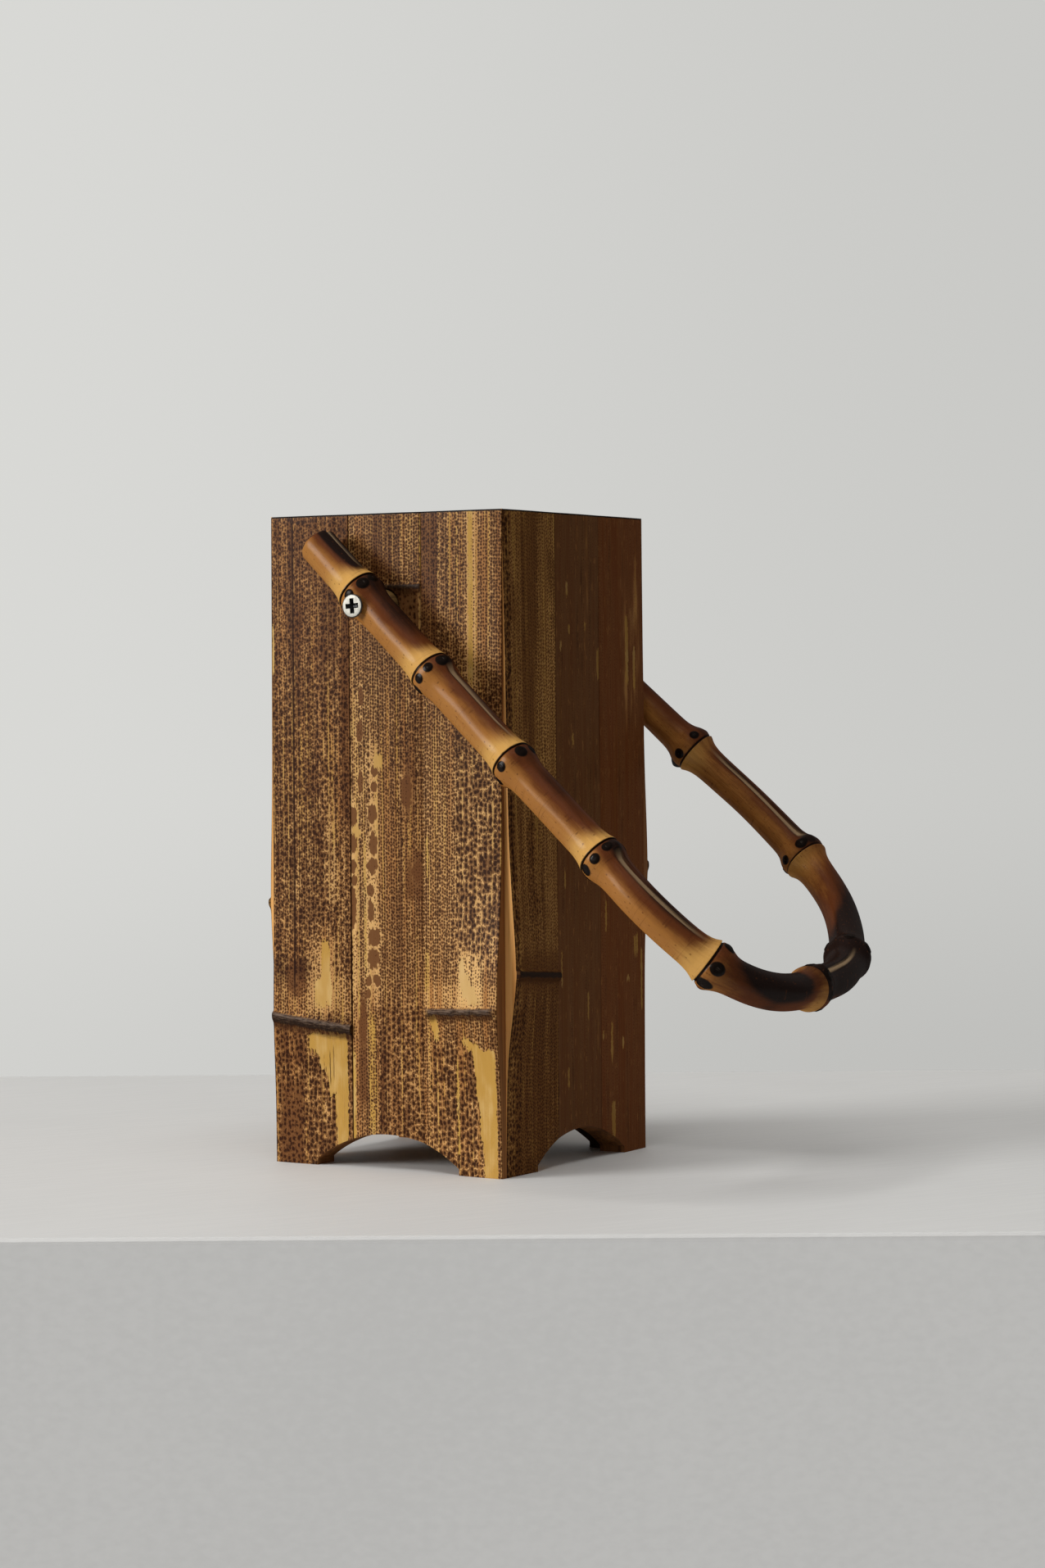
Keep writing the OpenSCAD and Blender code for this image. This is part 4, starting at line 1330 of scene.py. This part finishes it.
def channel_forms(route, s, a):
    """Over the handle's runs and turns: the depth of its channels as a share, their lips and their floors."""
    nodes = route.nodes
    before = (s[..., None] > nodes).sum(-1)
    gap = np.abs(gap_to(a, np.array(CHANNEL_TURNS)[before]))
    starts = np.concatenate([[-40.0], nodes])[before]
    ends = np.concatenate([nodes, [route.length + 40.0]])[before]
    grown = np.clip((s - starts) / (ends - starts), 0, 1)
    fade = np.clip((s - starts - 5.0) / 3.0, 0, 1)
    fade = fade * np.clip((ends - 3.0 - s) / np.clip((ends - starts) * 0.25, 2.0, 10.0), 0, 1)
    half_width = 15.0 - 7.0 * grown + 11.0 * (ends - starts < 18.0)
    inside = np.clip((half_width - gap) / 4.0 + 0.5, 0, 1)
    inside = inside * inside * (3 - 2 * inside)
    rib = 0.30 * np.cos(np.clip(gap / half_width, 0, 1) * math.pi / 2) ** 2
    lip = soft_peak(gap - half_width, 1.5, 3.2) * fade
    floor = np.clip((half_width - 3.2 - gap) / 2.4 + 0.5, 0, 1) * fade
    return fade * (inside - rib * inside), lip, floor


def handle_tones(route, s, a, near, knuckle):
    """Over the handle's runs and turns: how scorched, how golden and how dark its skin is."""
    nodes = route.nodes
    firsts, lasts = np.array([0, *(nodes + 4)]), np.array([*(nodes - 6), route.length])
    lasts = np.maximum(lasts, firsts + 1)
    stations = np.stack([firsts, (firsts + lasts) / 2, lasts], -1).ravel()
    baseline = np.interp(s, stations, np.ravel(SCORCHED))
    toasted = np.interp(s, stations, np.ravel(TOASTED))
    front = np.clip((0.62 * route.length - s) / 60.0, 0, 1)
    facing = np.cos(np.radians(a - (96.0 * front + 70.0 * (1 - front))))
    upper = np.clip(facing + 0.12, 0, 1)
    closest = np.abs(s[..., None] - nodes).argmin(-1)
    flare = soft_peak(np.clip(-near, 0, None), 0.0, 7.5) * (near < 0) * np.array(FLARES)[closest]
    band = soft_peak(near, 3.0, 4.0) * (near > 0)
    scorch = baseline * (1 - 0.8 * flare) + upper * toasted * (1 - 0.75 * flare)
    scorch = scorch + 0.6 * knuckle + 0.12 * band * upper
    golden = flare * (1 - 0.6 * baseline) + 0.3 * (1 - upper) * (1 - baseline)
    tail = np.clip((30.0 - s) / 12.0, 0, 1) * np.clip(1.15 - np.abs(gap_to(a, 82.0)) / 40.0, 0, 1) * (near < -3)
    dark = np.clip(upper * baseline * 0.9 + tail * 1.4, 0, 1)
    return scorch, golden, dark


def rhizome_mesh(size, body):
    """Points, faces, kinds and values of the handle, swept along its route."""
    route = Route(size, body)
    runs = handle_runs(route)
    turn = np.arange(HANDLE_SIDES) * 360.0 / HANDLE_SIDES
    s, a = np.meshgrid(runs, turn, indexing="ij")
    swelling, near, scar, knuckle = node_forms(route, s, a)
    channel, lip, floor = channel_forms(route, s, a)
    dome = 0.28 * np.clip(1 - (scar / 1.9) ** 2, 0, 1) ** 0.6 - 0.22 * soft_peak(scar, 0.0, 0.6)
    hollow = 0.12 * soft_peak(scar, 2.2, 0.4)
    ripple = 0.10 * np.sin(s * 0.11 + 1.0) * np.cos(np.radians(a * 2 + 40))
    ripple = ripple + 0.07 * np.sin(s * 0.23) * np.sin(np.radians(a * 3))
    radius = (size.root_d + (size.tip_d - size.root_d) * s / route.length) / 2
    radius = radius + swelling - size.channel * channel + 0.12 * lip + dome - hollow + ripple + 1.25 * knuckle
    radius = radius - rounded(s, END_ROUND) - rounded(route.length - s, END_ROUND)

    centre, out = route.place(runs), route.across(runs)
    cos, sin = np.cos(np.radians(turn)), np.sin(np.radians(turn))
    u = centre[:, 0, None] + out[:, 0, None] * radius * cos
    v = centre[:, 1, None] + out[:, 1, None] * radius * cos
    w = size.pivot_drop + radius * sin
    droop = size.group.droop
    z = body.height - size.pivot_below - u * math.sin(droop) + w * math.cos(droop)
    points = np.stack([u * math.cos(droop) + w * math.sin(droop), v, z], -1)
    values = {
        "route": (s, 6.5 * np.cos(np.radians(a)), 6.5 * np.sin(np.radians(a))),
        "crease": (near, near, near),
        "marks": (scar, np.clip(lip, 0, 1), floor),
        "tone": handle_tones(route, s, a, near, knuckle),
    }

    count, sides = len(runs), HANDLE_SIDES
    faces = []
    for i in range(count - 1):
        faces += band(i * sides, (i + 1) * sides, sides)
    kinds = [0] * len(faces) + [1, 1]
    faces.append(tuple(reversed(range(sides))))
    faces.append(tuple((count - 1) * sides + j for j in range(sides)))
    flat = {key: np.stack(parts, -1).reshape(-1, 3) for key, parts in values.items()}
    return points.reshape(-1, 3), faces, kinds, flat


def pivot_tools(settings, outwards):
    """Shapes of a pivot's bore, countersink and flat, as objects in the handle's place."""
    body, size, fit = all_sizes(settings)
    gap = HANDLE_CLEARANCE
    half_span = body.side / 2 + size.arm_offset
    head, flat = (fit.front_head, size.front_flat) if outwards < 0 else (fit.back_head, size.back_flat)
    seat = half_span + head
    cone = (fit.head_d - fit.shank_d) / 2
    bore_r, head_r = fit.shank_d / 2 + gap, fit.head_d / 2 + gap
    bore = [(0, 20), (bore_r, 20), (bore_r, seat - HEAD_EDGE - cone - gap), (head_r, seat - HEAD_EDGE - gap)]
    bore += [(head_r, seat + 6), (0, seat + 6)]
    disc_r, inner = (fit.spacer_d + 3) / 2, body.side / 2 - body.wall
    disc = [(0, inner), (disc_r, inner), (disc_r, half_span - flat), (0, half_span - flat)]
    tools = []
    for outline in (bore, disc):
        tool = new_object("pivot_tool", *turned(outline, 48))
        tool.matrix_world = pivot_place(settings, outwards)
        tools.append(tool)
    return tools


class BAMBOOVASE_OT_handle(Operator):
    """Makes the rhizome handle, with its nodes, root scars, channels and pivot holes"""

    bl_idname = "bamboovase.handle"
    bl_label = "Handle"

    def execute(self, context):
        settings = context.scene.bamboo_vase
        points, faces, kinds, values = rhizome_mesh(Millimetres(settings.handle), Millimetres(settings.body))
        skin = rhizome_skin("rhizome_skin", settings.rhizome)
        end = rhizome_end("rhizome_end", settings.rhizome)
        smooth = [kind == 0 for kind in kinds]
        piece = new_piece(
            "rhizome_handle", points, faces, [skin, end], "handle", ["handle"], kinds, smooth, values
        )
        cut_away(piece, pivot_tools(settings, -1) + pivot_tools(settings, 1))
        piece.data.set_sharp_from_angle(angle=math.radians(50))
        return {"FINISHED"}


# The pivots

# Start of the thread, its pitch and its depth, in millimetres
THREAD_START, THREAD_PITCH, THREAD_DEPTH = 12.0, 1.3, 0.42


def cross_tools():
    """Two tapered bars that cut the cross recess of a screw head."""
    faces = [(3, 2, 1, 0), (8, 9, 10, 11), *band(0, 4, 4), *band(4, 8, 4)]
    points = []
    for depth, reach, half_width in ((0.6, 2.8, 0.98), (-0.35, 2.5, 0.78), (-2.1, 0.8, 0.36)):
        for sx, sy in ((-1, -1), (1, -1), (1, 1), (-1, 1)):
            points.append((sx * reach, sy * half_width, depth))
    tools = []
    for quarter in (0.0, 90.0):
        tool = new_object("recess_tool", points, [tuple(reversed(face)) for face in faces])
        tool.rotation_euler.z = math.radians(quarter + 4.0)
        tools.append(tool)
    return tools


def screw_piece(settings, outwards, steel):
    """A countersunk cross-recess screw with its thread, head outwards."""
    body, size, fit = all_sizes(settings)
    side, head = ("front", fit.front_head) if outwards < 0 else ("back", fit.back_head)
    r, shank = fit.head_d / 2, fit.shank_d / 2
    cone = r - shank
    outline = [(0, 0), (r * 0.3, 0), (r * 0.62, -0.004), (r - 0.42, -0.02), (r - 0.36, -0.03)]
    outline += [(r - 0.18, -0.09), (r - 0.05, -0.2), (r, -0.34), (r, -HEAD_EDGE)]
    outline += [(shank + 0.15, -HEAD_EDGE - cone + 0.1), (shank, -0.7 - cone), (shank, -THREAD_START + 0.8)]
    depth = THREAD_START
    while depth < fit.screw_length - 3.2:
        outline += [(shank - THREAD_DEPTH, -depth), (shank - THREAD_DEPTH, -depth - 0.55)]
        outline += [(shank - 0.04, -depth - 0.85), (shank - 0.04, -depth - 0.95)]
        depth += THREAD_PITCH
    outline += [(shank - 0.5, -fit.screw_length + 2.4), (0.35, -fit.screw_length + 0.1), (0, -fit.screw_length)]
    points, faces = turned(list(reversed(outline)), 64)
    piece = new_piece(side + "_pivot_screw", points, faces, [steel], "vase", [side + "_screw"])
    cut_away(piece, cross_tools())
    mesh = piece.data
    co = np.array([vertex.co for vertex in mesh.vertices]) / MM
    out, down = np.hypot(co[:, 0], co[:, 1]), -co[:, 2]
    # Depth in the recess and the ring at the head's edge, where the steel is painted with shade and a shadow
    # ring
    depth = np.where((out < 2.9) & (down < 2.3) & (down > 0.03), down, 0.0)
    painted_rim_shadow = np.where((out > r - 0.4) & (down > 0.025), 1.0, 0.0)
    write_values(mesh, "recess", np.stack([depth, painted_rim_shadow, depth], -1))
    mesh.transform(pivot_place(settings, outwards, outwards * (body.side / 2 + size.arm_offset + head)))
    mesh.set_sharp_from_angle(angle=math.radians(38))


def spacer_piece(settings, outwards, wood):
    """A turned bamboo spacer with rounded edges, bored for the screw."""
    body, size, fit = all_sizes(settings)
    side, flat = ("front", size.front_flat) if outwards < 0 else ("back", size.back_flat)
    long = size.arm_offset - flat - HANDLE_CLEARANCE
    r, bore = fit.spacer_d / 2, fit.shank_d / 2 + SPACER_CLEARANCE
    outline = [(bore, 0.0), (r - 0.5, 0.0), *arc((r - 0.6, 0.6), 0.6, -90, 0, 5)]
    outline += [*arc((r - 0.9, long - 0.9), 0.9, 0, 90, 6), (bore + 0.2, long), (bore, long - 0.2)]
    sides, rows = 64, len(outline)
    faces = []
    for row in range(rows):
        faces += band(row * sides, (row + 1) % rows * sides, sides)
    name = side + "_turned_spacer"
    piece = new_piece(name, rings(outline, sides), faces, [wood], "vase", [side + "_spacer"])
    piece.data.transform(pivot_place(settings, outwards, outwards * body.side / 2))
    piece.data.set_sharp_from_angle(angle=math.radians(38))


class BAMBOOVASE_OT_pivots(Operator):
    """Makes the two pivot screws and the spacers behind the arms"""

    bl_idname = "bamboovase.pivots"
    bl_label = "Pivots"

    def execute(self, context):
        settings = context.scene.bamboo_vase
        steel = plated_steel("screw_plate", settings.finishes)
        wood = turned_bamboo("spacer_wood", settings.finishes.spacer)
        for outwards in (-1, 1):
            screw_piece(settings, outwards, steel)
            spacer_piece(settings, outwards, wood)
        return {"FINISHED"}


# The inside


class BAMBOOVASE_OT_inside(Operator):
    """Gives the base board its wood and makes the lift-out water liner"""

    bl_idname = "bamboovase.inside"
    bl_label = "Inside"

    def execute(self, context):
        settings = context.scene.bamboo_vase
        fit = Millimetres(settings.fittings)
        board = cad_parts["base_board"]
        board.data.materials.clear()
        board.data.materials.append(board_wood("board_wood", settings.finishes.board))
        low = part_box("liner")[0].z / MM
        r, wall, foot, rim = fit.liner_d / 2, fit.liner_wall, fit.liner_round, fit.liner_rim
        top = fit.liner_height - rim / 2
        outline = [(0, 0.5), (r - foot - 6, 0.5), (r - foot - 5, 0.0)]
        outline += arc((r - foot, foot), foot, -90, 0, 10) + [(r, top * 0.5), (r, top - rim / 2)]
        outline += arc((r - wall / 2, top), rim / 2, -20, 200, 22) + [(r - wall, top - rim / 2)]
        outline += [(r - wall, top * 0.5), *arc((r - foot, foot), foot - wall, 0, -90, 8), (0, wall)]
        points, faces = turned([(radius, height + low) for radius, height in outline], 96)
        skin = moulded_plastic("liner_skin", settings.finishes.liner)
        piece = new_piece("water_liner", points, faces, [skin], "liner", ["liner"])
        piece.data.set_sharp_from_angle(angle=math.radians(50))
        return {"FINISHED"}


# The stage


def soft_lamp(name, size_m, watts, place, target):
    """A rectangular lamp that faces a point and that the camera doesn't see."""
    lamp = bpy.data.lights.new(name, "AREA")
    lamp.shape = "RECTANGLE"
    lamp.size, lamp.size_y = size_m
    lamp.energy = watts
    holder = in_scene(name, lamp)
    holder.location = place
    holder.rotation_mode = "QUATERNION"
    holder.rotation_quaternion = (Vector(target) - Vector(place)).to_track_quat("-Z", "Y")
    holder.visible_camera = False
    return holder


class BAMBOOVASE_OT_stage(Operator):
    """Sets the pale shelf, the backdrop, the soft lamps and the camera"""

    bl_idname = "bamboovase.stage"
    bl_label = "Stage"

    def execute(self, context):
        scene = context.scene
        look = scene.bamboo_vase.stage
        self.shelf(look)
        self.room(look)
        soft_lamp("window", (1.6, 1.7), look.key, (-2.35, -3.0, 1.2), (0, 0, 0.10))
        overhead = soft_lamp("overhead", (2.4, 2.4), look.top, (0.1, -0.9, 3.2), (0, 0, 0.10))
        overhead.visible_glossy = False
        camera = bpy.data.cameras.new("camera")
        camera.sensor_fit = "AUTO"
        camera.sensor_width = 36.0
        camera.lens = 84.476
        camera.clip_start, camera.clip_end = 0.02, 60.0
        holder = in_scene("camera", camera)
        turn, pitch, roll = math.radians(31.482), math.radians(1.4786), math.radians(-0.436)
        holder.matrix_world = (
            Matrix.Translation(CAMERA_PLACE)
            @ Matrix.Rotation(turn, 4, "Z")
            @ Matrix.Rotation(math.pi / 2 - pitch, 4, "X")
            @ Matrix.Rotation(roll, 4, "Z")
        )
        scene.camera = holder
        scene.view_settings.view_transform = "Standard"
        return {"FINISHED"}

    @staticmethod
    def shelf(look):
        """A thick pale shelf, square to the camera, with softly rounded edges."""
        mesh = bpy.data.meshes.new("shelf")
        box = bmesh.new()
        bmesh.ops.create_cube(box, size=1.0)
        bmesh.ops.scale(box, vec=SHELF_SIZE, verts=box.verts)
        bmesh.ops.bevel(box, geom=list(box.edges), offset=0.002, segments=3, affect="EDGES", profile=0.5)
        box.to_mesh(mesh)
        box.free()
        shelf = in_scene("shelf", mesh)
        turn = Matrix.Rotation(math.radians(31.1), 4, "Z")
        under_camera = Vector((*CAMERA_PLACE[:2], -SHELF_SIZE[2] / 2))
        forward = turn @ Vector((0, 1, 0))
        middle = under_camera + forward * (SHELF_NEAR + SHELF_SIZE[1] / 2)
        shelf.matrix_world = Matrix.Translation(middle) @ turn
        shelf.data.materials.append(painted_shelf("shelf_paint", tuple(look.floor)))

    @staticmethod
    def room(look):
        """The pale wall as the camera and reflections see it, with painted light and shade on it, and the
        room's own dimmer light.
        """
        s = Shader(bpy.data.worlds.new("room"))
        path = s.add("ShaderNodeLightPath", output="Is Camera Ray")
        x, y, z = s.parts(s.add("ShaderNodeTexCoord", output="Generated"))
        behind = s.step(y - x * 0.6, 0.35, 0.95)
        seen = path.at_least(path.out("Is Glossy Ray").at_least(path.out("Is Transmission Ray")) * behind)
        # Painted light and shade on the wall: lighter on the left, darker low down, most on the right
        side = s.step(x * 0.853 + y * 0.522, -0.17, 0.17)
        pale = s.blend(shaded(look.backdrop, 1.12), shaded(look.backdrop, 0.95), side)
        low = s.step(z, -0.02, -0.11) * (side * 0.7 + 0.3)
        pale = s.blend(pale, shaded(look.backdrop, 0.84), low)
        wall = s.add("ShaderNodeBackground", {}, {"Color": pale, "Strength": 1.0})
        room = s.add("ShaderNodeBackground", {}, {"Color": (1.0, 0.98, 0.95), "Strength": look.fill})
        mixed = s.add("ShaderNodeMixShader", {}, {0: seen, 1: room, 2: wall})
        bpy.context.scene.world = s.end(mixed, "ShaderNodeOutputWorld")


class BAMBOOVASE_PT_parts(Panel):
    bl_idname = "BAMBOOVASE_PT_parts"
    bl_label = "Bamboo vase"
    bl_space_type = "VIEW_3D"
    bl_region_type = "UI"
    bl_category = "Bamboo vase"

    def draw(self, context):
        for step in STEPS:
            self.layout.operator(step.bl_idname)
        settings = context.scene.bamboo_vase
        for name in ("body", "bamboo", "handle", "rhizome", "fittings", "finishes", "stage"):
            group = getattr(settings, name)
            box = self.layout.box()
            for item in group.bl_rna.properties:
                if item.identifier not in ("rna_type", "name"):
                    box.prop(group, item.identifier)


STEPS = (
    BAMBOOVASE_OT_stage,
    BAMBOOVASE_OT_slats,
    BAMBOOVASE_OT_handle,
    BAMBOOVASE_OT_pivots,
    BAMBOOVASE_OT_inside,
)
GROUPS = (
    BodySizes,
    BambooColours,
    HandleSizes,
    HandleColours,
    FittingSizes,
    FittingColours,
    StageLook,
    VaseSettings,
)


def register():
    for item in (*GROUPS, *STEPS, BAMBOOVASE_PT_parts):
        bpy.utils.register_class(item)
    bpy.types.Scene.bamboo_vase = PointerProperty(type=VaseSettings)


def unregister():
    del bpy.types.Scene.bamboo_vase
    for item in reversed((*GROUPS, *STEPS, BAMBOOVASE_PT_parts)):
        bpy.utils.unregister_class(item)


def main():
    register()
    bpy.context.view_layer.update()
    bpy.ops.bamboovase.stage()
    bpy.ops.bamboovase.slats()
    bpy.ops.bamboovase.handle()
    bpy.ops.bamboovase.pivots()
    bpy.ops.bamboovase.inside()


if __name__ == "__main__":
    main()
